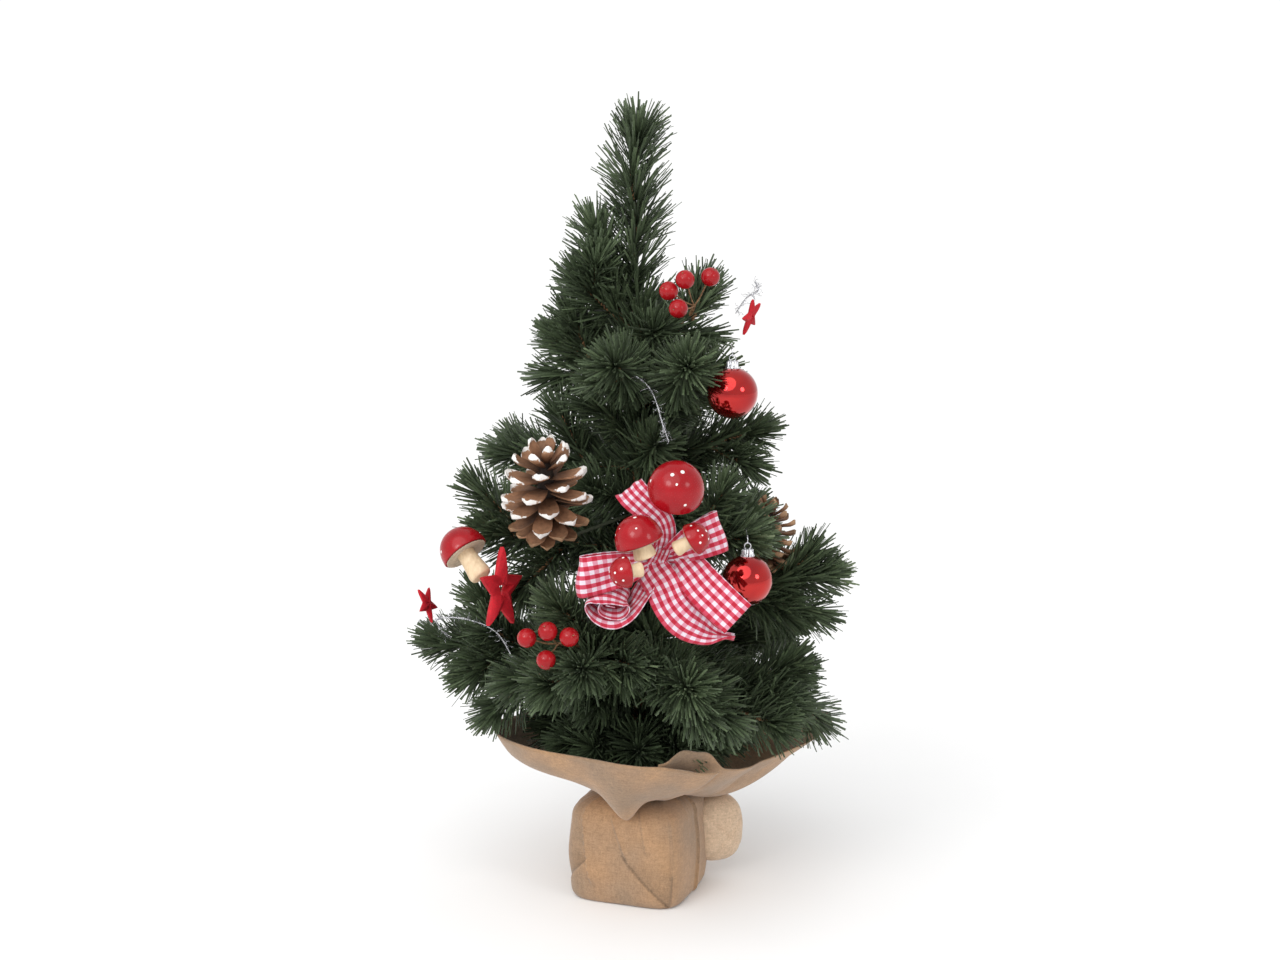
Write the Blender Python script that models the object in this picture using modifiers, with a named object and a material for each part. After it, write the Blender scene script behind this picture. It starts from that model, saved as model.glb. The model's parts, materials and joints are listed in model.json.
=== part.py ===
"""Artificial tabletop tree with ornaments, 450 mm tall, standing on a cloth-wrapped weight.

Units are metres, +Z is up and the front of the tree faces -Y. The origin is the centre of
the flat underside, on the trunk's axis. A bearing is an angle round the trunk: 0 is the
front, 90 is the right-hand side and 180 is the back. Each branch is a wire shoot that
bends up and down at its root, so its object hangs from an empty on that hinge's axis.
"""

import math

import bmesh
import bpy
from mathutils import Matrix, Vector

# Driving dimensions
TREE_HEIGHT = 0.450
CLEARANCE = 0.0003
TRUNK_RADIUS = 0.0050
TRUNK_FOOT = 0.0085
TRUNK_TOP = 0.3360
WIRE_RADIUS = 0.0010
ROOT_RADIUS = TRUNK_RADIUS + WIRE_RADIUS + CLEARANCE
FOLIAGE_RADIUS = 0.0080
FORK_AT = 0.42

BLOCK_TURN = math.radians(-20.3)
WRAP_HALF_SIDE = 0.0335
WRAP_SHOULDER = 0.0500
WRAP_THICKNESS = 0.0012
NECK_RADIUS = 0.0110
NECK_HEIGHT = 0.0590
TIE_RADIUS = 0.0012
FRONT_SAG = 0.0090
EAR_REACH = 0.0240
EAR_FOOT = 0.0060
EAR_HEIGHT = 0.0500

BERRY_RADIUS = 0.0050
BAUBLE_RADIUS = 0.0135
RIBBON_WIDTH = 0.0205
RIBBON_THICKNESS = 0.0006
KNOT = Vector((0.009, -0.097, 0.216))
KNOT_RADIUS = 0.0062

# Mushroom on the bow: (name, middle of the cap's rim, axis, cap radius, stem length)
BOW_MUSHROOMS = (
    ("bow_mushroom_large", (0.018, -0.114, 0.253), (0.10, -0.72, 0.68), 0.0141, 0.010),
    ("bow_mushroom_medium", (0.0, -0.122, 0.2286), (-0.35, -0.02, 0.93), 0.0121, 0.008),
    ("bow_mushroom_right", (0.026, -0.119, 0.2286), (0.84, -0.12, 0.53), 0.0082, 0.009),
    ("bow_mushroom_left", (-0.0065, -0.1335, 0.2155), (-0.93, -0.33, -0.10), 0.0079, 0.007),
)

# Branch: (bearing, root height, elevation, length, side tips); a side tip is (yaw, rise, length)
BRANCHES = {
    "branch_6_left": (-75, 0.326, 46, 0.056, ()),
    "branch_6_right": (64, 0.317, 28, 0.052, ()),
    "branch_5_back": (178, 0.300, 32, 0.066, ((-48, 6, 0.046), (48, 0, 0.046))),
    "branch_5_left": (-86, 0.292, 33, 0.062, ((-44, 0, 0.040),)),
    "branch_5_front": (-14, 0.290, 18, 0.082, ((-40, -8, 0.034),)),
    "branch_5_right": (48, 0.282, 25, 0.068, ()),
    "branch_4_left": (-90, 0.246, 10, 0.092, ((-36, 4, 0.050),)),
    "branch_4_right": (82, 0.250, 15, 0.084, ((36, -2, 0.046), (-34, -24, 0.044))),
    "branch_4_back": (176, 0.240, 14, 0.088, ((-40, 6, 0.048), (40, -2, 0.048))),
    "branch_3_left": (-62, 0.200, 14, 0.110, ()),
    "branch_3_right": (50, 0.203, 10, 0.092, ()),
    "branch_3_back_right": (132, 0.196, 12, 0.100, ((-22, 0, 0.050), (32, -2, 0.052))),
    "branch_3_back_left": (-130, 0.198, 12, 0.100, ((-32, -2, 0.052), (32, 4, 0.052))),
    "branch_2_left": (-93, 0.136, 5, 0.130, ((36, -22, 0.068), (-34, 2, 0.066))),
    "branch_2_right": (88, 0.160, 15, 0.118, ((30, 0, 0.060),)),
    "branch_2_front_left": (-17, 0.148, 4, 0.116, ((-30, -10, 0.066),)),
    "branch_2_front_right": (14, 0.138, 4, 0.114, ((30, -26, 0.066),)),
    "branch_1_right": (80, 0.114, 4, 0.118, ()),
    "branch_1_back_right": (138, 0.126, 6, 0.118, ((-30, -2, 0.064), (30, 2, 0.064))),
    "branch_1_back_left": (-148, 0.122, 6, 0.118, ((-30, 2, 0.064), (30, -2, 0.064))),
}

# Collar rim of the cloth: (bearing, radius, height), going once round
COLLAR_RIM = (
    (-170, 0.108, 0.096),
    (-122, 0.080, 0.092),
    (-78, 0.085, 0.100),
    (-25, 0.071, 0.098),
    (6, 0.075, 0.096),
    (34, 0.072, 0.088),
    (66, 0.073, 0.082),
    (107, 0.122, 0.093),
    (148, 0.084, 0.088),
    (190, 0.108, 0.096),
)

COLOURS = {
    "cement": ((0.55, 0.53, 0.50), 0.95, 0.0),
    "jute_cloth": ((0.51, 0.33, 0.19), 0.95, 0.0),
    "cord": ((0.45, 0.30, 0.18), 0.90, 0.0),
    "stem_wire": ((0.10, 0.07, 0.04), 0.60, 0.3),
    "green_needles": ((0.025, 0.075, 0.035), 0.65, 0.0),
    "red_lacquer": ((0.52, 0.010, 0.015), 0.15, 0.0),
    "red_chrome": ((0.62, 0.010, 0.010), 0.08, 0.9),
    "red_felt": ((0.45, 0.010, 0.015), 0.90, 0.0),
    "pale_wood": ((0.68, 0.52, 0.33), 0.55, 0.0),
    "cone_scales": ((0.19, 0.085, 0.040), 0.80, 0.0),
    "gingham": ((0.60, 0.15, 0.18), 0.85, 0.0),
    "silver_wire": ((0.75, 0.75, 0.77), 0.25, 1.0),
}


def clear_scene():
    for obj in list(bpy.data.objects):
        bpy.data.objects.remove(obj, do_unlink=True)


def make_collection(name):
    collection = bpy.data.collections.new(name)
    bpy.context.scene.collection.children.link(collection)
    return collection


def make_materials():
    found = {}
    for name, (colour, roughness, metallic) in COLOURS.items():
        material = bpy.data.materials.new(name)
        material.use_nodes = True
        shader = material.node_tree.nodes["Principled BSDF"]
        shader.inputs["Base Color"].default_value = (*colour, 1.0)
        shader.inputs["Roughness"].default_value = roughness
        shader.inputs["Metallic"].default_value = metallic
        material.diffuse_color = (*colour, 1.0)
        found[name] = material
    return found


def outward(bearing):
    """Unit vector that points away from the trunk at a bearing in degrees."""
    angle = math.radians(bearing)
    return Vector((math.sin(angle), -math.cos(angle), 0.0))


def heading(direction, elevation):
    """Unit vector with a horizontal direction, raised by an elevation in degrees."""
    angle = math.radians(elevation)
    return direction * math.cos(angle) + Vector((0.0, 0.0, math.sin(angle)))


def place_of(empty):
    """World position of an empty that only its parents' positions move."""
    return empty.location + place_of(empty.parent) if empty.parent else empty.location.copy()


def add_object(name, mesh, slot, parent=None):
    """Places a mesh that is in world coordinates, with its origin moved to its parent empty."""
    obj = bpy.data.objects.new(name, mesh)
    mesh.materials.clear()
    mesh.materials.append(MATERIALS[slot])
    TREE.objects.link(obj)
    if parent is not None:
        mesh.transform(Matrix.Translation(-place_of(parent)))
        obj.parent = parent
    return obj


def add_hinge(name, place, parent=None):
    """Empty on a joint's axis: what moves with the joint is parented to it."""
    empty = bpy.data.objects.new(name, None)
    empty.parent = parent
    empty.location = place - place_of(parent) if parent else place
    empty.empty_display_size = 0.01
    TREE.objects.link(empty)
    return empty


def evaluated_mesh(obj):
    """Mesh of an object with its modifiers or its bevel, in world coordinates."""
    bpy.context.view_layer.update()
    graph = bpy.context.evaluated_depsgraph_get()
    mesh = bpy.data.meshes.new_from_object(obj.evaluated_get(graph), depsgraph=graph)
    mesh.transform(obj.matrix_world)
    shape = bmesh.new()
    shape.from_mesh(mesh)
    bmesh.ops.remove_doubles(shape, verts=shape.verts, dist=0.00001)
    bmesh.ops.recalc_face_normals(shape, faces=shape.faces)
    shape.to_mesh(mesh)
    shape.free()
    return mesh


def consumed(obj):
    """Evaluated mesh of a helper object, which is then removed."""
    mesh = evaluated_mesh(obj)
    bpy.data.objects.remove(obj, do_unlink=True)
    return mesh


def helper(data, name="helper"):
    obj = bpy.data.objects.new(name, data)
    TREE.objects.link(obj)
    return obj


def rod(points, radii):
    """Closed round rod through points, with a radius at each; sharp turns stay unpinched."""
    curve = bpy.data.curves.new("rod", "CURVE")
    curve.dimensions = "3D"
    curve.bevel_depth = 1.0
    curve.bevel_resolution = 2
    curve.use_fill_caps = True
    spline = curve.splines.new("POLY")
    spline.points.add(len(points) - 1)
    for knot, place, radius in zip(spline.points, points, radii):
        knot.co = (*place, 1.0)
        knot.radius = radius
    return consumed(helper(curve))


def wire(points, radius):
    return rod(points, [radius] * len(points))


def ball(centre, radius, segments=12, rings=8):
    shape = bmesh.new()
    bmesh.ops.create_uvsphere(shape, u_segments=segments, v_segments=rings, radius=radius)
    bmesh.ops.translate(shape, vec=centre, verts=shape.verts)
    mesh = bpy.data.meshes.new("ball")
    shape.to_mesh(mesh)
    shape.free()
    return mesh


def united(meshes):
    """One closed mesh from overlapping closed meshes."""
    first = helper(meshes[0])
    others = [helper(mesh, "joined") for mesh in meshes[1:]]
    for other in others:
        union = first.modifiers.new("union", "BOOLEAN")
        union.operation = "UNION"
        union.object = other
    mesh = evaluated_mesh(first)
    for obj in [first, *others]:
        bpy.data.objects.remove(obj, do_unlink=True)
    return mesh


def turned(profile, steps=20):
    """Turned solid about Z; the profile of (radius, height) runs from the top down."""
    shape = bmesh.new()
    corners = [shape.verts.new((radius, 0.0, height)) for radius, height in profile]
    for above, below in zip(corners, corners[1:]):
        shape.edges.new((above, below))
    mesh = bpy.data.meshes.new("profile")
    shape.to_mesh(mesh)
    shape.free()
    obj = helper(mesh)
    screw = obj.modifiers.new("turn", "SCREW")
    screw.steps = steps
    screw.render_steps = steps
    screw.use_merge_vertices = True
    screw.merge_threshold = 0.00001
    return consumed(obj)


def stood_on(mesh, place, axis):
    """Moves a mesh made about Z so that its origin is at a place and its Z along an axis."""
    turn = Vector((0.0, 0.0, 1.0)).rotation_difference(Vector(axis).normalized())
    mesh.transform(Matrix.Translation(place) @ turn.to_matrix().to_4x4())
    return mesh


def band(path, across, widths, thickness=RIBBON_THICKNESS):
    """Flat strip along a path: across is the width's direction and widths its size."""
    shape = bmesh.new()
    edges = []
    for place, side, width in zip(path, across, widths):
        half = side.normalized() * width / 2
        edges.append((shape.verts.new(place - half), shape.verts.new(place + half)))
    for (low_a, high_a), (low_b, high_b) in zip(edges, edges[1:]):
        shape.faces.new((low_a, low_b, high_b, high_a))
    mesh = bpy.data.meshes.new("band")
    shape.to_mesh(mesh)
    shape.free()
    obj = helper(mesh)
    solid = obj.modifiers.new("thickness", "SOLIDIFY")
    solid.thickness = thickness
    solid.offset = 0.0
    return consumed(obj)


def star_outline(outer, inner):
    points = []
    for index in range(10):
        radius = outer if index % 2 == 0 else inner
        angle = math.pi / 2 + index * math.pi / 5
        points.append((radius * math.cos(angle), radius * math.sin(angle)))
    return points


def star(outer, thickness, hole=0.0):
    """Five-pointed plate in the XY plane, with a star-shaped window when hole is above 0."""
    inner = outer * 0.42
    curve = bpy.data.curves.new("star", "CURVE")
    curve.dimensions = "2D"
    curve.fill_mode = "BOTH"
    curve.extrude = thickness / 2
    outlines = [star_outline(outer, inner)]
    if hole > 0.0:
        outlines.append(star_outline(outer * hole, inner * hole))
    for outline in outlines:
        spline = curve.splines.new("POLY")
        spline.points.add(len(outline) - 1)
        spline.use_cyclic_u = True
        for knot, (across, up) in zip(spline.points, outline):
            knot.co = (across, up, 0.0, 1.0)
    return consumed(helper(curve))


# Base


def wrap_wall_radius(angle):
    """Plan of the wrapped block: a square with well-rounded corners."""
    across = abs(math.cos(angle - BLOCK_TURN)) ** 4.5
    along = abs(math.sin(angle - BLOCK_TURN)) ** 4.5
    return WRAP_HALF_SIDE / (across + along) ** (1 / 4.5)


def collar_rim(bearing):
    """Radius and height of the collar's edge at a bearing, eased between the rim's points."""
    around = (bearing + 170) % 360 - 170
    for (start, radius_a, height_a), (end, radius_b, height_b) in zip(COLLAR_RIM, COLLAR_RIM[1:]):
        if start <= around <= end:
            part = (1 - math.cos(math.pi * (around - start) / (end - start))) / 2
            radius = radius_a + (radius_b - radius_a) * part
            return radius, height_a + (height_b - height_a) * part
    return COLLAR_RIM[0][1:]


def corner_ear(bearing, height):
    """Extra radius of the folded ear of cloth behind the right-hand corner."""
    around = math.exp(-(((bearing - 110) / 15) ** 2))
    part = min(1.0, max(0.0, (height - EAR_FOOT) / EAR_HEIGHT))
    return EAR_REACH * around * math.sin(math.pi * part)


def wrap_point(ring, bearing):
    """Point of the cloth at a bearing; a ring is its kind, its scale or radius, and its height."""
    kind, scale, height = ring
    direction = outward(bearing)
    angle = math.atan2(direction.y, direction.x)
    if kind == "wall":
        radius = wrap_wall_radius(angle) * scale + corner_ear(bearing, height)
    elif kind == "neck":
        radius = scale
    else:
        rim_radius, rim_height = collar_rim(bearing)
        radius = NECK_RADIUS + (rim_radius - NECK_RADIUS) * scale
        sag = FRONT_SAG * math.sin(math.pi * scale) * math.exp(-(((bearing + 12) / 38) ** 2))
        height = NECK_HEIGHT + 0.002 + (rim_height - NECK_HEIGHT - 0.002) * scale**2.3 - sag
    return direction * radius + Vector((0.0, 0.0, height))


def build_burlap_wrap():
    segments = 40
    rings = [("wall", part, 0.0) for part in (0.45, 0.92)]
    rings += [("wall", 1.0, height) for height in (0.004, 0.018, 0.032, 0.043)]
    rings += [("wall", 0.93, WRAP_SHOULDER), ("wall", 0.62, WRAP_SHOULDER + 0.004)]
    rings += [("neck", NECK_RADIUS, NECK_HEIGHT - 0.002), ("neck", NECK_RADIUS, NECK_HEIGHT + 0.002)]
    rings += [("collar", part, 0.0) for part in (0.25, 0.5, 0.75, 1.0)]
    shape = bmesh.new()
    loops = []
    for ring in rings:
        bearings = [360 * index / segments for index in range(segments)]
        loops.append([shape.verts.new(wrap_point(ring, (b + 180) % 360 - 180)) for b in bearings])
    shape.faces.new(loops[0][::-1])
    for lower, upper in zip(loops, loops[1:]):
        for index in range(segments):
            after = (index + 1) % segments
            shape.faces.new((lower[index], lower[after], upper[after], upper[index]))
    bmesh.ops.recalc_face_normals(shape, faces=shape.faces)
    if sum(face.normal.z * face.calc_area() for face in shape.faces if len(face.verts) > 4) > 0:
        bmesh.ops.reverse_faces(shape, faces=shape.faces)
    mesh = bpy.data.meshes.new("burlap_wrap")
    shape.to_mesh(mesh)
    shape.free()
    obj = add_object("burlap_wrap", mesh, "jute_cloth")
    solid = obj.modifiers.new("cloth", "SOLIDIFY")
    solid.thickness = WRAP_THICKNESS
    solid.offset = -1.0


def build_base_weight():
    side = 2 * (WRAP_HALF_SIDE - WRAP_THICKNESS - 0.0020)
    low = WRAP_THICKNESS + CLEARANCE
    high = WRAP_SHOULDER - 0.004
    shape = bmesh.new()
    bmesh.ops.create_cube(shape, size=1.0)
    bmesh.ops.scale(shape, vec=(side, side, high - low), verts=shape.verts)
    upright = [e for e in shape.edges if abs(e.verts[0].co.z - e.verts[1].co.z) > 0.001]
    bmesh.ops.bevel(shape, geom=upright, offset=0.014, segments=4, affect="EDGES", profile=0.5)
    turn = Matrix.Rotation(BLOCK_TURN, 4, "Z")
    shape.transform(Matrix.Translation((0.0, 0.0, (high + low) / 2)) @ turn)
    mesh = bpy.data.meshes.new("base_weight")
    shape.to_mesh(mesh)
    shape.free()
    block = add_object("base_weight", mesh, "cement")
    rounding = block.modifiers.new("worn edges", "BEVEL")
    rounding.width = 0.002
    rounding.segments = 2
    rounding.limit_method = "ANGLE"
    hole = bmesh.new()
    depth = high - TRUNK_FOOT + 0.02
    bmesh.ops.create_cone(
        hole,
        cap_ends=True,
        segments=24,
        radius1=TRUNK_RADIUS + CLEARANCE,
        radius2=TRUNK_RADIUS + CLEARANCE,
        depth=depth,
    )
    bmesh.ops.translate(hole, vec=(0.0, 0.0, TRUNK_FOOT - CLEARANCE + depth / 2), verts=hole.verts)
    cutter_mesh = bpy.data.meshes.new("trunk_hole")
    hole.to_mesh(cutter_mesh)
    hole.free()
    cutter = bpy.data.objects.new("trunk_hole", cutter_mesh)
    CUTTERS.objects.link(cutter)
    cutter.hide_render = True
    cutter.display_type = "WIRE"
    cut = block.modifiers.new("trunk hole", "BOOLEAN")
    cut.operation = "DIFFERENCE"
    cut.object = cutter


def build_neck_tie():
    bpy.ops.mesh.primitive_torus_add(
        major_radius=NECK_RADIUS + TIE_RADIUS + CLEARANCE,
        minor_radius=TIE_RADIUS,
        major_segments=28,
        minor_segments=8,
        location=(0.0, 0.0, NECK_HEIGHT),
    )
    obj = bpy.context.object
    obj.name = "neck_tie"
    for collection in list(obj.users_collection):
        collection.objects.unlink(obj)
    TREE.objects.link(obj)
    obj.data.materials.append(MATERIALS["cord"])


def build_trunk():
    heights = (TRUNK_FOOT, 0.12, 0.24, TRUNK_TOP - 0.004, TRUNK_TOP)
    radii = (TRUNK_RADIUS, TRUNK_RADIUS, TRUNK_RADIUS, TRUNK_RADIUS, TRUNK_RADIUS * 0.6)
    points = [Vector((0.0, 0.0, height)) for height in heights]
    add_object("trunk_wire", rod(points, radii), "stem_wire")


# Foliage


def shoot(start, direction, length, bare):
    """Wire with a brush of needles round it, tapered to both ends."""
    steps = (
        (0.0, WIRE_RADIUS),
        (bare, WIRE_RADIUS),
        (bare + 0.004, FOLIAGE_RADIUS * 0.5),
        (bare + (length - bare) * 0.40, FOLIAGE_RADIUS),
        (bare + (length - bare) * 0.78, FOLIAGE_RADIUS),
        (length - 0.003, FOLIAGE_RADIUS * 0.7),
        (length, FOLIAGE_RADIUS * 0.3),
    )
    return rod([start + direction * along for along, _ in steps], [radius for _, radius in steps])


def build_branch(name, bearing, height, elevation, length, side_tips):
    root = outward(bearing) * ROOT_RADIUS + Vector((0.0, 0.0, height))
    main = heading(outward(bearing), elevation)
    meshes = [shoot(root, main, length, 0.010)]
    fork = root + main * length * FORK_AT
    for yaw, rise, reach in side_tips:
        direction = heading(outward(bearing + yaw), elevation + rise)
        meshes.append(shoot(fork, direction, reach, 0.004))
    mesh = united(meshes) if side_tips else meshes[0]
    hinge = add_hinge("hinge_" + name, root)
    add_object(name, mesh, "green_needles", hinge)
    return hinge


def build_leader():
    root = Vector((0.0, 0.0, TRUNK_TOP + CLEARANCE + 0.002))
    hinge = add_hinge("hinge_leader", root)
    tip = Vector((0.0, 0.0, TREE_HEIGHT))
    steps = ((0.0, 0.5), (0.08, 0.8), (0.3, 1.25), (0.6, 1.2), (0.85, 1.1), (0.96, 0.8), (1.0, 0.3))
    points = []
    for part, _ in steps:
        bow = Vector((-0.009, -0.002, 0.0)) * math.sin(math.pi * part) ** 1.2
        points.append(root.lerp(tip, part) + bow)
    radii = [FOLIAGE_RADIUS * scale for _, scale in steps]
    radii[0] = 0.002
    add_object("leader", rod(points, radii), "green_needles", hinge)
    return hinge


def point_on(name, along, offset=(0.0, 0.0, 0.0)):
    """Point on a branch's main wire, a distance from its root, moved by an offset."""
    bearing, height, elevation, _, _ = BRANCHES[name]
    root = outward(bearing) * ROOT_RADIUS + Vector((0.0, 0.0, height))
    return root + heading(outward(bearing), elevation) * along + Vector(offset)


# Ornaments


def build_pinecone(name, base, axis, length, radius, parent):
    """Open cone as a turned solid with one ridge for each ring of scales."""
    rows = 6
    profile = [(0.0, length)]
    for row in range(rows, 0, -1):
        part = row / (rows + 0.4)
        reach = radius * math.sin(math.pi * (0.12 + 0.80 * part)) ** 0.7
        profile.append((reach * 0.55, length * (part + 0.06)))
        profile.append((reach, length * (part - 0.01)))
    profile.append((radius * 0.35, length * 0.05))
    profile.append((radius * 0.2, 0.0))
    profile.append((0.0, 0.0))
    add_object(name, stood_on(turned(profile, 16), base, axis), "cone_scales", parent)


def build_mushroom(name, cap_centre, axis, cap_radius, stem_length, parent):
    """Domed cap and a turned stem whose top stops short of the cap's underside."""
    height = cap_radius * 1.10
    profile = [(0.0, height)]
    for index in range(1, 6):
        angle = math.pi / 2 * index / 5
        profile.append((cap_radius * math.sin(angle), height * math.cos(angle)))
    profile.append((cap_radius * 0.93, -cap_radius * 0.10))
    profile.append((cap_radius * 0.40, cap_radius * 0.02))
    profile.append((0.0, cap_radius * 0.02))
    add_object(name + "_cap", stood_on(turned(profile), cap_centre, axis), "red_lacquer", parent)
    top = cap_radius * 0.02 - CLEARANCE
    neck = cap_radius * 0.42
    foot = cap_radius * 0.49
    stem = [(0.0, top), (neck, top), (neck, top - stem_length * 0.5), (foot, top - stem_length)]
    stem += [(foot * 0.8, top - stem_length - 0.001), (0.0, top - stem_length - 0.001)]
    add_object(name + "_stem", stood_on(turned(stem, 14), cap_centre, axis), "pale_wood", parent)


def build_bauble(name, hook, parent):
    """Glossy ball with a metal cap and hanging loop; it swings about the loop's top."""
    hinge = add_hinge("hinge_" + name, hook, parent)
    centre = hook - Vector((0.0, 0.0, BAUBLE_RADIUS + 0.0062))
    add_object(name + "_ball", ball(centre, BAUBLE_RADIUS, 20, 12), "red_chrome", hinge)
    seat = centre + Vector((0.0, 0.0, BAUBLE_RADIUS + CLEARANCE))
    cap = turned([(0.0, 0.0032), (0.0028, 0.0032), (0.0031, 0.0), (0.0, 0.0)], 14)
    cap.transform(Matrix.Translation(seat))
    loop_points = []
    for index in range(9):
        angle = math.pi * (-0.25 + 1.5 * index / 8)
        circle = Vector((math.cos(angle), 0.0, math.sin(angle))) * 0.0016
        loop_points.append(seat + Vector((0.0, 0.0, 0.0042)) + circle)
    loop = wire(loop_points, 0.0004)
    add_object(name + "_cap", united([cap, loop]), "silver_wire", hinge)


def build_berry_pick(name, junction, foot, berries, parent):
    """Twisted wire with a berry on each of its ends."""
    pieces = [ball(junction, 0.0012, 8, 6), wire([foot, junction], 0.0008)]
    for number, centre in enumerate(berries, 1):
        toward = (junction - centre).normalized()
        end = centre + toward * (BERRY_RADIUS + CLEARANCE)
        pieces.append(wire([junction, end], 0.0005))
        add_object(f"{name}_{number}", ball(centre, BERRY_RADIUS), "red_lacquer", parent)
    add_object(name + "_wire", united(pieces), "stem_wire", parent)


def add_star(name, plate, centre, normal, roll, parent):
    plate.transform(Matrix.Rotation(roll, 4, "Z"))
    facing = Vector(normal).normalized().to_track_quat("Z", "Y").to_matrix().to_4x4()
    plate.transform(Matrix.Translation(centre) @ facing)
    add_object(name, plate, "red_felt", parent)


def ribbon_loop(start, tip, bulge, width, width_side):
    """Teardrop loop of ribbon that leaves a point, turns at the tip and comes back."""
    count = 13
    path = []
    widths = []
    for index in range(count):
        part = index / (count - 1)
        reach = math.sin(math.pi * part) ** 0.75
        swell = math.sin(2 * math.pi * part)
        path.append(start + (tip - start) * reach + bulge * swell)
        widths.append(width * (0.35 + 0.65 * min(1.0, reach * 1.3)))
    return band(path, [width_side] * count, widths)


def build_bow(parent):
    """Gingham bow: pinched knot with four loops, and two tails that hang from it."""
    loops = [ball(KNOT, KNOT_RADIUS, 12, 8)]
    spread = (
        (Vector((-0.0320, -0.116, 0.2095)), Vector((0.0, -0.007, 0.0)), Vector((0.04, 0.0, 1.0))),
        (Vector((-0.0165, -0.113, 0.190)), Vector((-0.007, 0.001, 0.007)), Vector((0.0, -0.84, -0.54))),
        (Vector((-0.0035, -0.1005, 0.253)), Vector((0.0, -0.006, 0.0)), Vector((0.92, 0.2, 0.31))),
        (Vector((0.043, -0.102, 0.232)), Vector((0.0, -0.006, 0.0)), Vector((-0.3, 0.0, 1.0))),
    )
    for tip, bulge, side in spread:
        loops.append(ribbon_loop(KNOT, tip, bulge, RIBBON_WIDTH, side))
    add_object("bow_ribbon_loops", united(loops), "gingham", parent)
    tails = []
    ends = (
        (Vector((0.0502, -0.121, 0.1868)), Vector((0.027, -0.116, 0.205)), Vector((0.76, 0.1, 0.64))),
        (Vector((0.0470, -0.1135, 0.177)), Vector((0.005, -0.119, 0.180)), Vector((0.74, -0.40, 0.55))),
    )
    start = KNOT + Vector((0.0035, -0.0095, -0.0045))
    tails.append(ball(start, 0.0022, 8, 6))
    for end, middle, side in ends:
        count = 8
        path = []
        widths = []
        for index in range(count):
            part = index / (count - 1)
            bend = start.lerp(middle, part).lerp(middle.lerp(end, part), part)
            path.append(bend)
            widths.append(RIBBON_WIDTH * (0.15 + 0.85 * min(1.0, part * 2.2)))
        tails.append(band(path, [side] * count, widths))
    add_object("bow_ribbon_tails", united(tails), "gingham", parent)


def build_bow_pick():
    """Wire from the trunk that carries the bow and its four mushrooms."""
    root = outward(6) * ROOT_RADIUS + Vector((0.0, 0.0, 0.206))
    hinge = add_hinge("hinge_bow_pick", root)
    end = KNOT - (KNOT - root).normalized() * (KNOT_RADIUS + CLEARANCE * 2)
    pick = wire([root, root.lerp(end, 0.5), end], WIRE_RADIUS)
    add_object("bow_pick_wire", pick, "stem_wire", hinge)
    build_bow(hinge)
    for name, centre, axis, cap_radius, stem_length in BOW_MUSHROOMS:
        build_mushroom(name, Vector(centre), axis, cap_radius, stem_length, hinge)


def build_front_pinecone():
    root = outward(-30) * ROOT_RADIUS + Vector((0.0, 0.0, 0.222))
    hinge = add_hinge("hinge_pinecone_front", root)
    base = Vector((-0.0475, -0.082, 0.2225))
    axis = (-0.02, -0.30, 0.95)
    elbow = base - Vector(axis).normalized() * 0.004
    points = [root, root.lerp(elbow, 0.6), elbow, base - Vector(axis).normalized() * CLEARANCE]
    add_object("pinecone_front_wire", wire(points, WIRE_RADIUS), "stem_wire", hinge)
    build_pinecone("pinecone_front", base, axis, 0.056, 0.0245, hinge)


def build_left_ornaments(hinge_high, hinge_low):
    build_mushroom(
        "mushroom_side",
        Vector((-0.0921, -0.0720, 0.2130)),
        (-0.57, 0.43, 0.70),
        0.0125,
        0.016,
        hinge_high,
    )
    large = star(0.0232, 0.0040, 0.30)
    add_star("star_large", large, (-0.0725, -0.082, 0.195), (0.90, -0.40, 0.05), -0.17, hinge_high)
    small = star(0.0112, 0.0022)
    add_star("star_small_left", small, (-0.1190, -0.018, 0.1725), (0.90, -0.30, 0.30), 0.5, hinge_low)
    anchor = point_on("branch_2_left", 0.104, (0.0, -0.009, 0.004))
    points = [
        anchor,
        anchor + Vector((-0.006, -0.004, 0.012)),
        anchor + Vector((0.012, -0.010, 0.014)),
        anchor + Vector((0.030, -0.018, 0.008)),
        anchor + Vector((0.040, -0.022, -0.010)),
    ]
    add_object("garland_wire_left", wire(points, 0.0005), "silver_wire", hinge_low)


def build_right_ornaments(hinge):
    small = star(0.0110, 0.0022)
    add_star("star_small_right", small, (0.0595, -0.032, 0.334), (0.85, -0.40, -0.30), 0.4, hinge)
    anchor = point_on("branch_6_right", 0.046, (0.010, 0.004, -0.004))
    points = [
        anchor,
        anchor + Vector((0.006, -0.002, 0.008)),
        anchor + Vector((0.010, -0.004, 0.018)),
        anchor + Vector((0.012, -0.006, 0.013)),
    ]
    add_object("garland_wire_right", wire(points, 0.0005), "silver_wire", hinge)
    berries = [
        Vector((0.0150, -0.056, 0.3490)),
        Vector((0.0235, -0.058, 0.3550)),
        Vector((0.0200, -0.060, 0.3400)),
        Vector((0.0370, -0.050, 0.3560)),
    ]
    junction = Vector((0.0290, -0.044, 0.3400))
    foot = point_on("branch_6_right", 0.034, (-0.006, -0.011, 0.002))
    build_berry_pick("berry_upper", junction, foot, berries, hinge)


def build_front_berries(hinge):
    berries = [
        Vector((-0.0580, -0.104, 0.1745)),
        Vector((-0.0470, -0.108, 0.1790)),
        Vector((-0.0360, -0.110, 0.1765)),
        Vector((-0.0480, -0.108, 0.1640)),
    ]
    junction = Vector((-0.0420, -0.098, 0.1700))
    foot = point_on("branch_2_front_left", 0.080, (-0.004, 0.002, 0.010))
    build_berry_pick("berry_lower", junction, foot, berries, hinge)


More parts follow.
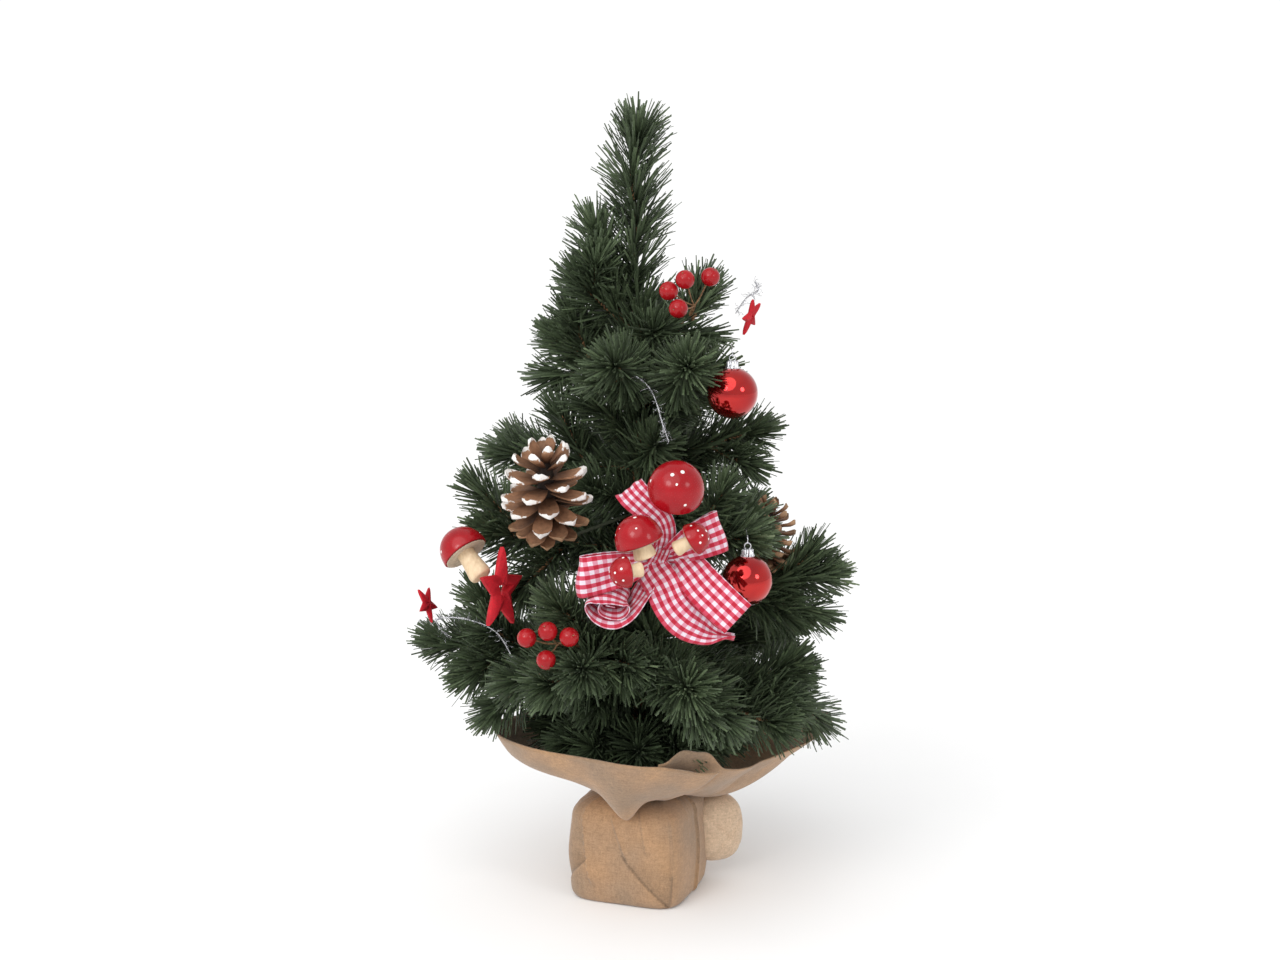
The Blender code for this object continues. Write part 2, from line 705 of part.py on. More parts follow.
def build_rear_pinecone(hinge):
    base = point_on("branch_2_right", 0.062, (0.002, 0.002, 0.0104))
    build_pinecone("pinecone_rear", base, (0.15, 0.10, 0.98), 0.044, 0.0185, hinge)


clear_scene()
MATERIALS = make_materials()
TREE = make_collection("Tabletop_Tree")
CUTTERS = make_collection("Cutters")
build_base_weight()
build_burlap_wrap()
build_neck_tie()
build_trunk()
build_leader()
HINGES = {name: build_branch(name, *spec) for name, spec in BRANCHES.items()}
build_bow_pick()
build_front_pinecone()
build_left_ornaments(HINGES["branch_3_left"], HINGES["branch_2_left"])
build_right_ornaments(HINGES["branch_6_right"])
build_front_berries(HINGES["branch_2_front_left"])
build_rear_pinecone(HINGES["branch_2_right"])
UPPER_HOOK = point_on("branch_5_right", 0.056, (0.006, -0.0235, 0.010))
LOWER_HOOK = point_on("branch_3_right", 0.082, (-0.010, -0.0145, 0.0))
build_bauble("bauble_upper", UPPER_HOOK, HINGES["branch_5_right"])
build_bauble("bauble_lower", LOWER_HOOK, HINGES["branch_3_right"])
for piece in TREE.objects:
    if piece.type == "MESH":
        piece.data.shade_smooth()
        piece.data.set_sharp_from_angle(angle=math.radians(40))
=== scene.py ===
import json
import math

import bmesh
import bpy
import numpy as np
from mathutils import Matrix, Quaternion, Vector
from mathutils.bvhtree import BVHTree


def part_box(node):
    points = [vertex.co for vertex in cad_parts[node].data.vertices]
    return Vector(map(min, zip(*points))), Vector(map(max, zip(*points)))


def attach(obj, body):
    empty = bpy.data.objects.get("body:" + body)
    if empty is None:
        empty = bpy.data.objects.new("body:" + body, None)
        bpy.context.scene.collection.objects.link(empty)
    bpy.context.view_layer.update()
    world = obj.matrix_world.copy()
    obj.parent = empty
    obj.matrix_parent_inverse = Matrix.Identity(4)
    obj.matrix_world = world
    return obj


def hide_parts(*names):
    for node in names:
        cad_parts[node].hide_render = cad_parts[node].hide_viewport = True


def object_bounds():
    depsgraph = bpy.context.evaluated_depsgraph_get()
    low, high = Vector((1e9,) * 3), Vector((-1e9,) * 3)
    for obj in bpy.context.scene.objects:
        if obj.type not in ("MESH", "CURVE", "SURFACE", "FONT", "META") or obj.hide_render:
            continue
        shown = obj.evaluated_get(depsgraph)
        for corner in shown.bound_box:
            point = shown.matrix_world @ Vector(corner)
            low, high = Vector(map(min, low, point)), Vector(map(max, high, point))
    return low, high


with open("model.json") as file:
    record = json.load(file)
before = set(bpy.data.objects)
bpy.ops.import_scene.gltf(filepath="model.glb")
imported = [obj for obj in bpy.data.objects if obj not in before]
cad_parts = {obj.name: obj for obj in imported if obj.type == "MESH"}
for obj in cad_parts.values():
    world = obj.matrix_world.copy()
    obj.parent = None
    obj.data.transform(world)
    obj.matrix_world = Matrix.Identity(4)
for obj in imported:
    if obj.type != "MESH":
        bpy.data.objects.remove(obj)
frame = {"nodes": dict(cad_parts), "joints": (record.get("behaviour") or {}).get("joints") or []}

CAD_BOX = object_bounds()
MM = 0.001
UP = Vector((0.0, 0.0, 1.0))

# Needles
NEEDLE_LENGTH = 0.0245
NEEDLE_WIDTH = 0.00130
NEEDLE_RIDGE = 0.00040
NEEDLES_PER_METRE = 6200
TRUNK_NEEDLES = 2600
NEEDLE_SWEEP = 56.0
SWEEP_LOSS = 6.0
SWEEP_SPREAD = 9.0
SWEEP_LIMITS = (0.06, 1.45)
TIP_CLUMP = 0.16
TIP_REACH = 0.011
LENGTH_SPREAD = (0.78, 1.06)
WIDTH_SPREAD = (0.85, 1.12)
CURVE_SPREAD = (0.02, 0.20)
CLUMP_RUN = 0.006
TWIST_PITCH = 0.0046
STEM_RADIUS = 0.0006
STEM_STOP = 0.0170
LEADER_FULL = 1.05
LEADER_BOW = 0.45
LEADER_BARE = 0.004
LEADER_CLOSING = 26.0
TIP_CLOSING = 50.0
# How far short of the CAD tip the wire of some branches stops
STEM_STOPS = {
    "branch_1_right": 0.058,
    "branch_2_left": 0.020,
    "branch_3_left": 0.023,
    "branch_3_right": 0.022,
    "branch_4_right": 0.024,
    "branch_4_left": 0.024,
    "branch_6_right": 0.036,
}
SIDE_STOPS = {"branch_2_left": 0.028, "branch_4_right": 0.030, "branch_3_back_right": 0.032}
# Shoots of a branch: share of its length, turn and rise in degrees, length
SHOOTS = {
    "branch_6_left": ((0.10, 0, 27, 0.052),),
    "branch_6_right": ((0.30, 0, -35, 0.018),),
    "branch_5_left": ((0.30, -10, -45, 0.030),),
    "branch_5_right": ((0.30, -42, -6, 0.066),),
    "branch_4_left": ((0.28, 0, 55, 0.030),),
    "branch_3_left": ((0.35, 25, -40, 0.045), (0.62, -8, 32, 0.032)),
    "branch_3_right": ((0.35, -5, 45, 0.038),),
    "branch_2_left": ((0.50, 10, 52, 0.036), (0.30, 42, -34, 0.052)),
    "branch_2_right": ((0.50, -10, -30, 0.036), (0.62, 0, 30, 0.026)),
    "branch_2_front_left": ((0.45, -30, 40, 0.050), (0.30, -50, -14, 0.060)),
    "branch_1_right": (
        (0.30, 0, 15, 0.050),
        (0.45, 0, 34, 0.034),
        (0.25, -36, -9, 0.058),
        (0.30, -15, -6, 0.046),
    ),
}
BARE_LENGTH = 0.006
WANDER = 0.0035
AIM_TRIES = 6
NEEDLE_RINGS = ((0.0, 0.75), (0.55, 1.0), (1.0, 0.70))
SIDE_TIP_LEAST = 0.025
SIDE_TIP_CLEAR = 0.011
THREADS_PER_CHECK = 9.0

# Which CAD nodes needles keep clear of, and which they may not stand in front of
VIEW_LINE = Vector((0.0, math.cos(0.16), -math.sin(0.16)))
HIDING_REACH = 0.070
PLAIN = ("branch_", "leader", "trunk_wire", "base_")
THIN = ("_wire", "bauble_upper_cap", "bauble_lower_cap")
IN_FRONT = ("bow_", "pinecone_front", "mushroom_side", "star_", "berry_")

# Light and camera
AMBIENT = 0.84
BACKDROP = 1.05
SUN_ENERGY = 1.45
SUN_SPREAD = 65.0
SUN_FROM = (-0.45, -0.85, 1.0)
# Lamp: name, place, width, power
LAMPS = (("key", (-0.7, -1.1, 0.9), 0.5, 4.0), ("fill", (0.9, -0.9, 0.7), 0.4, 2.0))
LAMP_TARGET = Vector((0.0, 0.0, 0.22))
FLOOR_HALF = 6.0
FLOOR_DROP = 0.0002
CAMERA_PLACE = (0.0, -1.0, 0.40)
CAMERA_TILT = 9.1
CAMERA_LENS = 50.54
CAMERA_SENSOR = 36.0

# Ribbon and cloth
RIBBON_WIDTH = 0.0205
RIBBON_THICK = 0.0004
KNOT_RADIUS = 0.0062
BLOCK_TURN = math.radians(-20.3)
BLOCK_POWER = 5.0
UNDER_SHARE = 0.16
SIDE_SHARE = 0.46
TOP_SHARE = 0.38
WALL_REACH = 0.034
SHOULDER = 0.046
NECK_INNER = 0.0105
PLEATS = 34
DENTS = 26
COLLAR_LEAST = 0.075
COLLAR_START = 0.0118
CLOTH_THICKNESS = 0.0006
DRAPE_SAG = 0.011

# Collar in section: share of its rise at each share of the way out, for a few bearings
COLLAR_STEPS = (0.0, 0.2, 0.35, 0.5, 0.65, 0.8, 0.9, 1.0)
COLLAR_LEFT = (0.0, 0.08, 0.22, 0.34, 0.44, 0.55, 0.70, 1.0)
COLLAR_FRONT = (0.0, 0.02, 0.08, 0.20, 0.36, 0.57, 0.76, 1.0)
COLLAR_RIGHT = (0.0, -0.10, -0.13, -0.04, 0.20, 0.58, 0.78, 1.0)
COLLAR_BACK = (0.0, 0.04, 0.12, 0.25, 0.42, 0.64, 0.82, 1.0)
COLLAR_PROFILES = (
    (-180.0, COLLAR_BACK), (-130.0, COLLAR_BACK), (-90.0, COLLAR_LEFT), (-55.0, COLLAR_LEFT),
    (-25.0, COLLAR_FRONT), (40.0, COLLAR_FRONT), (78.0, COLLAR_RIGHT), (118.0, COLLAR_RIGHT),
    (160.0, COLLAR_BACK), (180.0, COLLAR_BACK),
)
EAR_BEARING = 109.0
EAR_MIDDLE = 0.0465
EAR_LEVEL = 0.0305
EAR_HALF = (0.0165, 0.0120, 0.0200)
BLOCK_BULGE = 0.050
WALL_SWELL = 0.0012

# Fold on the wall: bearing and height (mm) of both ends, then its rise and its width in mm
WALL_FOLDS = (
    (24.0, 52, 24.5, 0, 2.0, 6.0), (-14.0, 27, 23.5, 1, -1.5, 6.0),
    (-55.0, 54, -47.0, 16, 1.9, 5.0), (-80.0, 4, -52.0, 24, -1.2, 6.0),
    (-28.0, 50, -13.0, 27, 1.3, 4.5), (0.0, 52, 4.0, 36, 1.0, 4.0), (74.0, 52, 70.0, 4, 1.8, 5.0),
    (150.0, 50, 158.0, 8, 1.6, 6.0), (-128.0, 50, -116.0, 12, 1.6, 6.0),
    (-160.0, 30, -118.0, 2, -1.2, 5.5), (195.0, 28, 168.0, 2, 1.1, 5.0),
)
CHECK_ACROSS = 0.0045
CHECK_ALONG = 0.0050

GARLAND_STRAND = 0.00022
GARLAND_PITCH = 0.0022
TINSEL_LENGTH = (0.0018, 0.0058)
TINSEL_RADIUS = 0.00011

# Metal cap of a bauble: (radius, height) in metres over the top of the ball
HANGER_CAP = (
    (0.0, 0.0034), (0.0024, 0.0034), (0.0030, 0.0030), (0.0031, 0.0008), (0.0036, -0.0002),
    (0.0036, -0.0006), (0.0, -0.0004),
)

BERRY_TIP = ((0.0, 0.0004), (0.00035, 0.00025), (0.0004, -0.0002), (0.0, -0.0003))

# Mushroom, in shares of the cap's radius; a profile is (radius, height) from the rim's level
CAP_HEIGHT = 1.10
CAP_BELOW = 0.10
STEM_NECK = 0.40
STEM_FOOT = 0.475
CAP_LIP = ((0.992, -0.035), (0.955, -0.062), (0.90, -0.05), (0.0, -0.02))
CAP_UNDER = (
    (0.0, -0.045), (0.40, -0.050), (0.70, -0.075), (0.90, -0.105), (0.93, -0.085), (0.88, -0.055),
    (0.0, -0.03),
)

# Pinecone: level up the cone, then the scales' reach and width there, as shares of its radius
CONE_LEVELS = (0.0, 0.15, 0.35, 0.60, 0.75, 0.88, 1.0)
CONE_REACH = (0.50, 0.75, 0.91, 0.91, 0.82, 0.67, 0.52)
CONE_WIDTH = (0.30, 0.40, 0.44, 0.44, 0.40, 0.32, 0.24)
PAINT_FROM = 0.82
CONE_SCALES = 46
CONE_OPEN = 126.0
CONE_CLOSING = 40.0
CONE_TIP_CLOSING = 56.0
BERRIES = 4
STAR_WAIST = 0.42
STAR_BLUNT = 0.955
FORK_AT = 0.42
GOLDEN_ANGLE = math.radians(137.508)

# Twigs of a branch: where they leave it as shares of its length, their yaw and roll in degrees
TWIGS_PER_BRANCH = 3
TWIG_BARE = 0.003
TWIG_AT = (0.38, 0.66)
TWIG_YAW = (32.0, 52.0)
TWIG_ROLL = 65.0
TWIG_LONGEST = 0.046

# Tufts on the trunk: lowest level and rise, length at the bottom and how much shorter at the top
TUFTS = 30
TUFT_LEVEL = 0.086
TUFT_RISE = 0.226
TUFT_REACH = 0.064
TUFT_SHORTER = 0.026
TRUNK_RADIUS = 0.003
TRUNK_STRAND = 0.0024
TRUNK_PITCH = 0.030
SKIRT = 13
SKIRT_LEVEL = 0.094
SKIRT_REACH = 0.062

# Cone under the leader that side twigs stay inside: its radius at the top and its flare
OUTLINE_TOP = 0.020
OUTLINE_FLARE = 0.128


# Mesh helpers


def node_points(name):
    """Vertices of a CAD node at rest, as an array in metres."""
    mesh = frame["nodes"][name].data
    points = np.empty(len(mesh.vertices) * 3, np.float32)
    mesh.vertices.foreach_get("co", points)
    return points.reshape(-1, 3).astype(float)


def linked(name, data):
    """New object in the scene."""
    obj = bpy.data.objects.new(name, data)
    bpy.context.scene.collection.objects.link(obj)
    return obj


def add_piece(name, mesh, body, finish, replaced):
    """Piece that rides on a body, takes a finish and stands for the CAD nodes it replaces."""
    mesh.materials.append(MATERIALS[finish])
    obj = linked(name, mesh)
    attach(obj, body)
    if replaced:
        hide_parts(*replaced)
    return obj


def add_solid(name, shape, body, finish, node, sharp=35.0, **values):
    """Closed piece from (points, faces); each extra value becomes an attribute of its points."""
    mesh = solid_mesh(name, *shape, sharp)
    for key, value in values.items():
        set_attribute(mesh, key, value)
    add_piece(name, mesh, body, finish, [node])


def thicken(obj, thickness):
    """Gives a sheet its thickness, half of it on each side."""
    solid = obj.modifiers.new("thickness", "SOLIDIFY")
    solid.thickness = thickness
    solid.offset = 0.0


def array_mesh(name, points, faces, smooth=True):
    """Mesh from an array of points and an array or list of faces."""
    mesh = bpy.data.meshes.new(name)
    faces = np.asarray(faces, dtype=np.int32)
    count, corners = faces.shape
    mesh.vertices.add(len(points))
    mesh.vertices.foreach_set("co", np.asarray(points, np.float32).ravel())
    mesh.loops.add(count * corners)
    mesh.loops.foreach_set("vertex_index", faces.ravel())
    mesh.polygons.add(count)
    mesh.polygons.foreach_set("loop_start", np.arange(0, count * corners, corners, dtype=np.int32))
    mesh.polygons.foreach_set("use_smooth", np.full(count, smooth))
    mesh.update(calc_edges=True)
    mesh.validate()
    return mesh


def grid_faces(rows, columns, closed=False, start=0):
    """Quads of a grid of points; a closed grid joins its last column to its first."""
    faces = []
    for row in range(rows - 1):
        low, high = start + row * columns, start + (row + 1) * columns
        for column in range(columns if closed else columns - 1):
            after = (column + 1) % columns
            faces.append((low + column, low + after, high + after, high + column))
    return faces


def set_attribute(mesh, name, values):
    """Float attribute on the points of a mesh."""
    layer = mesh.attributes.new(name, "FLOAT", "POINT")
    layer.data.foreach_set("value", np.asarray(values, np.float32))


def unit(vectors):
    return vectors / np.linalg.norm(vectors, axis=-1, keepdims=True)


def outward(bearing, rise=0.0):
    """Level direction away from the trunk, where a bearing of 0 is the front, plus a rise."""
    return np.array([math.sin(bearing), -math.cos(bearing), rise])


def run_along(path):
    """Distance along a path from its start to each of its points."""
    return np.concatenate([[0.0], np.cumsum(np.linalg.norm(np.diff(path, axis=0), axis=1))])


def sampled(values, at, places):
    """Rows of values, which belong to places, at other places between them."""
    return np.stack([np.interp(at, places, values[:, axis]) for axis in range(3)], axis=1)


# Materials

SHADER_INPUTS = {
    "metallic": "Metallic",
    "specular": "Specular IOR Level",
    "coat": "Coat Weight",
    "coat_roughness": "Coat Roughness",
    "sheen": "Sheen Weight",
    "subsurface": "Subsurface Weight",
    "transmission": "Transmission Weight",
}


class Surface:
    """Node material built step by step."""

    def __init__(self, name):
        self.material = bpy.data.materials.new(name)
        self.material.use_nodes = True
        self.tree = self.material.node_tree
        self.shader = self.tree.nodes["Principled BSDF"]

    def node(self, kind, inputs=None, **settings):
        made = self.tree.nodes.new(kind)
        for key, value in settings.items():
            setattr(made, key, value)
        for key, value in (inputs or {}).items():
            self.put(made.inputs[key], value)
        return made

    def put(self, socket, value):
        if isinstance(value, bpy.types.NodeSocket):
            self.tree.links.new(value, socket)
        elif isinstance(value, tuple) and len(value) == 3 and socket.type == "RGBA":
            socket.default_value = (*value, 1.0)
        else:
            socket.default_value = value

    def attribute(self, name):
        return self.node("ShaderNodeAttribute", attribute_name=name).outputs["Fac"]

    def place(self, stretch=(1.0, 1.0, 1.0), source="Object"):
        coordinates = self.node("ShaderNodeTexCoord").outputs[source]
        inputs = {"Vector": coordinates, "Scale": stretch}
        return self.node("ShaderNodeMapping", inputs).outputs["Vector"]

    def noise(self, scale, detail=3.0, rough=0.55, vector=None):
        inputs = {"Scale": scale, "Detail": detail, "Roughness": rough}
        inputs["Vector"] = vector or self.place()
        return self.node("ShaderNodeTexNoise", inputs).outputs["Fac"]

    def math(self, operation, a, b=0.0, c=0.0):
        return self.node("ShaderNodeMath", {0: a, 1: b, 2: c}, operation=operation).outputs[0]

    def mix(self, factor, a, b, blend="MIX"):
        made = self.node("ShaderNodeMix", data_type="RGBA", blend_type=blend)
        self.put(made.inputs[0], factor)
        self.put(made.inputs[6], a)
        self.put(made.inputs[7], b)
        return made.outputs[2]

    def grey(self, value):
        return self.node("ShaderNodeCombineColor", {0: value, 1: value, 2: value}).outputs[0]

    def ramp(self, factor, stops):
        made = self.node("ShaderNodeValToRGB", {"Fac": factor})
        elements = made.color_ramp.elements
        while len(elements) < len(stops):
            elements.new(0.5)
        for element, (at, colour) in zip(elements, stops):
            element.position = at
            element.color = (*colour, 1.0)
        return made.outputs["Color"]

    def span(self, value, low, high, to_low=0.0, to_high=1.0):
        inputs = {"Value": value, "From Min": low, "From Max": high}
        inputs.update({"To Min": to_low, "To Max": to_high})
        return self.node("ShaderNodeMapRange", inputs).outputs["Result"]

    def bump(self, height, strength, distance, normal=None):
        inputs = {"Height": height, "Strength": strength, "Distance": distance}
        if normal:
            inputs["Normal"] = normal
        return self.node("ShaderNodeBump", inputs).outputs["Normal"]

    def finish(self, colour, roughness, normal=None, **others):
        self.put(self.shader.inputs["Base Color"], colour)
        self.put(self.shader.inputs["Roughness"], roughness)
        if normal:
            self.put(self.shader.inputs["Normal"], normal)
        for key, value in others.items():
            self.put(self.shader.inputs[SHADER_INPUTS[key]], value)
        return self.material


def needle_material():
    s = Surface("green_needles")
    tone = s.attribute("tone")
    along = s.attribute("along")
    stops = (
        (0.0, (0.0400, 0.0570, 0.0300)),
        (0.40, (0.0700, 0.1000, 0.0500)),
        (0.75, (0.1120, 0.1560, 0.0780)),
        (1.0, (0.1950, 0.2400, 0.1350)),
    )
    colour = s.ramp(tone, stops)
    # Painted shade: each needle is darker towards its base, deep inside the foliage
    painted_base_shade = s.span(along, 0.0, 0.75, 0.58, 1.0)
    streak = s.noise(900.0, 2.0)
    shade = s.math("MULTIPLY", painted_base_shade, s.span(streak, 0.3, 0.7, 0.8, 1.2))
    colour = s.mix(1.0, colour, s.grey(shade), "MULTIPLY")
    roughness = s.span(s.noise(420.0, 2.0), 0.3, 0.7, 0.42, 0.62)
    normal = s.bump(streak, 0.25, 0.0002)
    return s.finish(colour, roughness, normal, specular=0.45)


def grain_material(name, noise, low, high, rough, bump, **others):
    """Plain material whose colour, roughness and bump all follow one fine grain."""
    s = Surface(name)
    grain = s.noise(*noise)
    colour = s.ramp(grain, ((0.3, low), (0.7, high)))
    if isinstance(rough, tuple):
        rough = s.span(grain, 0.3, 0.7, *rough)
    return s.finish(colour, rough, s.bump(grain, *bump), **others)


def cloth_material():
    """Nonwoven tan cloth: matted fibres in two directions, with patches of orange and grey, painted
    shade along its folds and a painted lighter tone on the ear.
    """
    s = Surface("jute_cloth")
    fibres = s.noise(760.0, 4.0, 0.7, s.place((1.0, 1.0, 0.30)))
    threads = s.noise(700.0, 4.0, 0.7, s.place((0.35, 0.35, 1.4)))
    matted = s.math("MULTIPLY", s.math("ADD", fibres, threads), 0.5)
    speck = s.noise(1500.0, 2.0)
    patches = s.noise(34.0, 2.0, 0.5)
    grey, tan, orange = (0.280, 0.192, 0.125), (0.335, 0.212, 0.126), (0.405, 0.245, 0.133)
    tan = s.ramp(patches, ((0.34, grey), (0.52, tan), (0.70, orange)))
    layers = s.attribute("layers")
    # Cloth beside a rising fold is tinted orange for its doubled layer; beside a dropping fold and
    # along each crease it is painted darker as shade
    tan = s.mix(s.span(layers, 0.0, 0.6, 0.0, 0.8), tan, (0.365, 0.220, 0.122))
    tan = s.mix(s.span(layers, 0.0, -0.8, 0.0, 0.75), tan, (0.175, 0.118, 0.076))
    # Painted light: the ear is mixed towards a paler tan, as if more directly lit than the block
    tan = s.mix(s.attribute("pale"), tan, (0.560, 0.415, 0.290))
    light = s.span(matted, 0.36, 0.66, 0.84, 1.24)
    light = s.math("MULTIPLY", light, s.span(speck, 0.3, 0.7, 0.88, 1.12))
    colour = s.mix(1.0, tan, s.grey(light), "MULTIPLY")
    height = s.math("ADD", matted, s.math("MULTIPLY", speck, 0.35))
    normal = s.bump(height, 0.55, 0.0006)
    normal = s.bump(s.noise(120.0, 3.0), 0.25, 0.0012, normal)
    return s.finish(colour, s.span(matted, 0.3, 0.7, 0.82, 0.98), normal, specular=0.15, sheen=0.25)


def lacquer_material(name, low, high, coat=1.0):
    """Glossy paint over turned wood, a little uneven."""
    s = Surface(name)
    cloudy = s.noise(110.0, 3.0)
    speck = s.noise(1400.0, 2.0)
    colour = s.ramp(cloudy, ((0.30, low), (0.70, high)))
    rough = s.span(speck, 0.3, 0.7, 0.16, 0.30)
    normal = s.bump(s.noise(240.0, 2.0), 0.10, 0.0006)
    normal = s.bump(speck, 0.05, 0.0002, normal)
    return s.finish(colour, rough, normal, specular=0.22, coat=coat, coat_roughness=0.06)


def wood_material():
    """Pale turned wood with fine rings across its axis and a few darker fibres."""
    s = Surface("pale_wood")
    fibre = s.noise(520.0, 4.0, 0.6, s.place((1.0, 1.0, 0.3)))
    patch = s.noise(150.0, 2.0)
    dark, middle, pale = (0.56, 0.40, 0.24), (0.70, 0.54, 0.35), (0.80, 0.66, 0.46)
    colour = s.ramp(fibre, ((0.25, dark), (0.55, middle), (0.80, pale)))
    colour = s.mix(s.span(patch, 0.35, 0.7, 0.0, 0.25), colour, (0.55, 0.40, 0.25))
    return s.finish(colour, s.span(fibre, 0.3, 0.7, 0.45, 0.65), s.bump(fibre, 0.35, 0.0003))


def cone_material():
    """Red-brown scales that pale along their rim, with brushed white paint where paint is 1."""
    s = Surface("cone_scales")
    paint = s.attribute("paint")
    tone = s.attribute("tone")
    along = s.attribute("along")
    fibre = s.noise(420.0, 4.0, 0.6)
    root, face, edge = (0.020, 0.011, 0.007), (0.150, 0.070, 0.036), (0.290, 0.150, 0.082)
    brown = s.ramp(along, ((0.0, root), (0.45, face), (0.85, edge), (1.0, (0.38, 0.23, 0.13))))
    uneven = s.span(fibre, 0.3, 0.7, 0.75, 1.2)
    shade = s.math("MULTIPLY", s.span(tone, 0.0, 1.0, 0.72, 1.25), uneven)
    brown = s.mix(1.0, brown, s.grey(shade), "MULTIPLY")
    brushed = s.math("ADD", paint, s.span(s.noise(700.0, 3.0), 0.3, 0.7, -0.18, 0.18))
    painted = s.span(brushed, 0.44, 0.56)
    colour = s.mix(painted, brown, (0.84, 0.82, 0.79))
    rough = s.span(painted, 0.0, 1.0, 0.62, 0.45)
    height = s.math("ADD", fibre, s.math("MULTIPLY", painted, 0.8))
    return s.finish(colour, rough, s.bump(height, 0.5, 0.0005), specular=0.3)


def gingham_material():
    """Woven red and white checks, with the threads of a plain weave in the bump."""
    s = Surface("gingham")
    place = s.node("ShaderNodeUVMap", uv_map="Weave").outputs["UV"]
    wobble = s.node("ShaderNodeTexNoise", {"Vector": place, "Scale": 0.9, "Detail": 2.0})
    slip = {0: wobble.outputs["Color"], 1: (0.10, 0.10, 0.0)}
    bend = s.node("ShaderNodeVectorMath", slip, operation="MULTIPLY").outputs[0]
    moved = s.node("ShaderNodeVectorMath", {0: place, 1: bend}, operation="ADD").outputs[0]
    split = s.node("ShaderNodeSeparateXYZ", {"Vector": moved})
    bars = []
    threads = []
    for axis in ("X", "Y"):
        value = split.outputs[axis]
        wave = s.math("PINGPONG", value, 0.5)
        bars.append(s.span(wave, 0.235, 0.265))
        threads.append(s.math("SINE", s.math("MULTIPLY", value, math.pi * 2.0 * THREADS_PER_CHECK)))
    red = s.math("ADD", s.math("MULTIPLY", bars[1], 0.65), s.math("MULTIPLY", bars[0], 0.35))
    white, pink = (0.70, 0.61, 0.68), (0.62, 0.26, 0.34)
    mixed, deep = (0.53, 0.055, 0.10), (0.43, 0.012, 0.035)
    colour = s.ramp(red, ((0.0, white), (0.35, pink), (0.65, mixed), (1.0, deep)))
    weave = s.math("MULTIPLY", threads[0], threads[1])
    speck = s.noise(2200.0, 2.0)
    uneven = s.span(speck, 0.3, 0.7, 0.90, 1.10)
    light = s.math("MULTIPLY", s.span(weave, -1.0, 1.0, 0.90, 1.08), uneven)
    colour = s.mix(1.0, colour, s.grey(light), "MULTIPLY")
    height = s.math("ADD", weave, speck)
    rough = s.span(speck, 0.3, 0.7, 0.70, 0.90)
    return s.finish(colour, rough, s.bump(height, 0.25, 0.00015), sheen=0.2, specular=0.25)


def chrome_material():
    """Red mirror coating over glass, slightly wavy."""
    s = Surface("red_chrome")
    wave = s.noise(70.0, 2.0)
    colour = s.ramp(wave, ((0.35, (0.36, 0.004, 0.006)), (0.65, (0.50, 0.014, 0.010))))
    speck = s.noise(900.0, 2.0)
    rough = s.span(speck, 0.3, 0.7, 0.05, 0.13)
    return s.finish(colour, rough, s.bump(wave, 0.06, 0.002), metallic=0.92, coat=0.6)


def star_material():
    s = Surface("red_felt")
    speck = s.noise(1300.0, 3.0)
    patch = s.noise(160.0, 2.0)
    colour = s.ramp(patch, ((0.3, (0.36, 0.004, 0.012)), (0.7, (0.52, 0.010, 0.020))))
    colour = s.mix(1.0, colour, s.grey(s.span(speck, 0.3, 0.7, 0.78, 1.18)), "MULTIPLY")
    rough = s.span(speck, 0.3, 0.7, 0.55, 0.80)
    return s.finish(colour, rough, s.bump(speck, 0.35, 0.0003), specular=0.3)


STEM_COLOURS = (0.100, 0.050, 0.022), (0.340, 0.185, 0.085)
PICK_COLOURS = (0.014, 0.020, 0.010), (0.045, 0.052, 0.028)
CORD_COLOURS = (0.22, 0.13, 0.065), (0.50, 0.33, 0.18)
CEMENT_COLOURS = (0.36, 0.34, 0.31), (0.58, 0.56, 0.52)
GILL_COLOURS = (0.42, 0.34, 0.25), (0.62, 0.52, 0.40)
SILVER_COLOURS = (0.42, 0.43, 0.46), (0.90, 0.90, 0.93)
FINE, FINE_BUMP = (700.0, 3.0), (0.4, 0.0003)
MATERIALS = {
    "needles": needle_material(),
    "stem": grain_material("stem_wire", FINE, *STEM_COLOURS, (0.45, 0.7), FINE_BUMP, metallic=0.2),
    "pick": grain_material("pick_wire", FINE, *PICK_COLOURS, (0.55, 0.8), FINE_BUMP),
    "cloth": cloth_material(),
    "cord": grain_material("cord", (1100.0, 3.0), *CORD_COLOURS, 0.9, (0.6, 0.0004)),
    "cement": grain_material("cement", (260.0, 5.0, 0.7), *CEMENT_COLOURS, (0.85, 1.0), (0.6, 0.0012)),
    "lacquer": lacquer_material("red_lacquer", (0.260, 0.003, 0.007), (0.350, 0.005, 0.010), 0.20),
    "berry": lacquer_material("berry_red", (0.270, 0.004, 0.007), (0.360, 0.007, 0.011), 0.14),
    "white": lacquer_material("white_dots", (0.72, 0.70, 0.68), (0.84, 0.82, 0.80), 0.3),
    "wood": wood_material(),
    "gills": grain_material("mushroom_underside", (600.0, 3.0), *GILL_COLOURS, 0.7, FINE_BUMP),
    "cone": cone_material(),
    "gingham": gingham_material(),
    "chrome": chrome_material(),
    "star": star_material(),
    "silver": grain_material(
        "silver_wire", (900.0, 2.0), *SILVER_COLOURS, (0.15, 0.38), (0.3, 0.0002), metallic=0.95
    ),
}


# Foliage


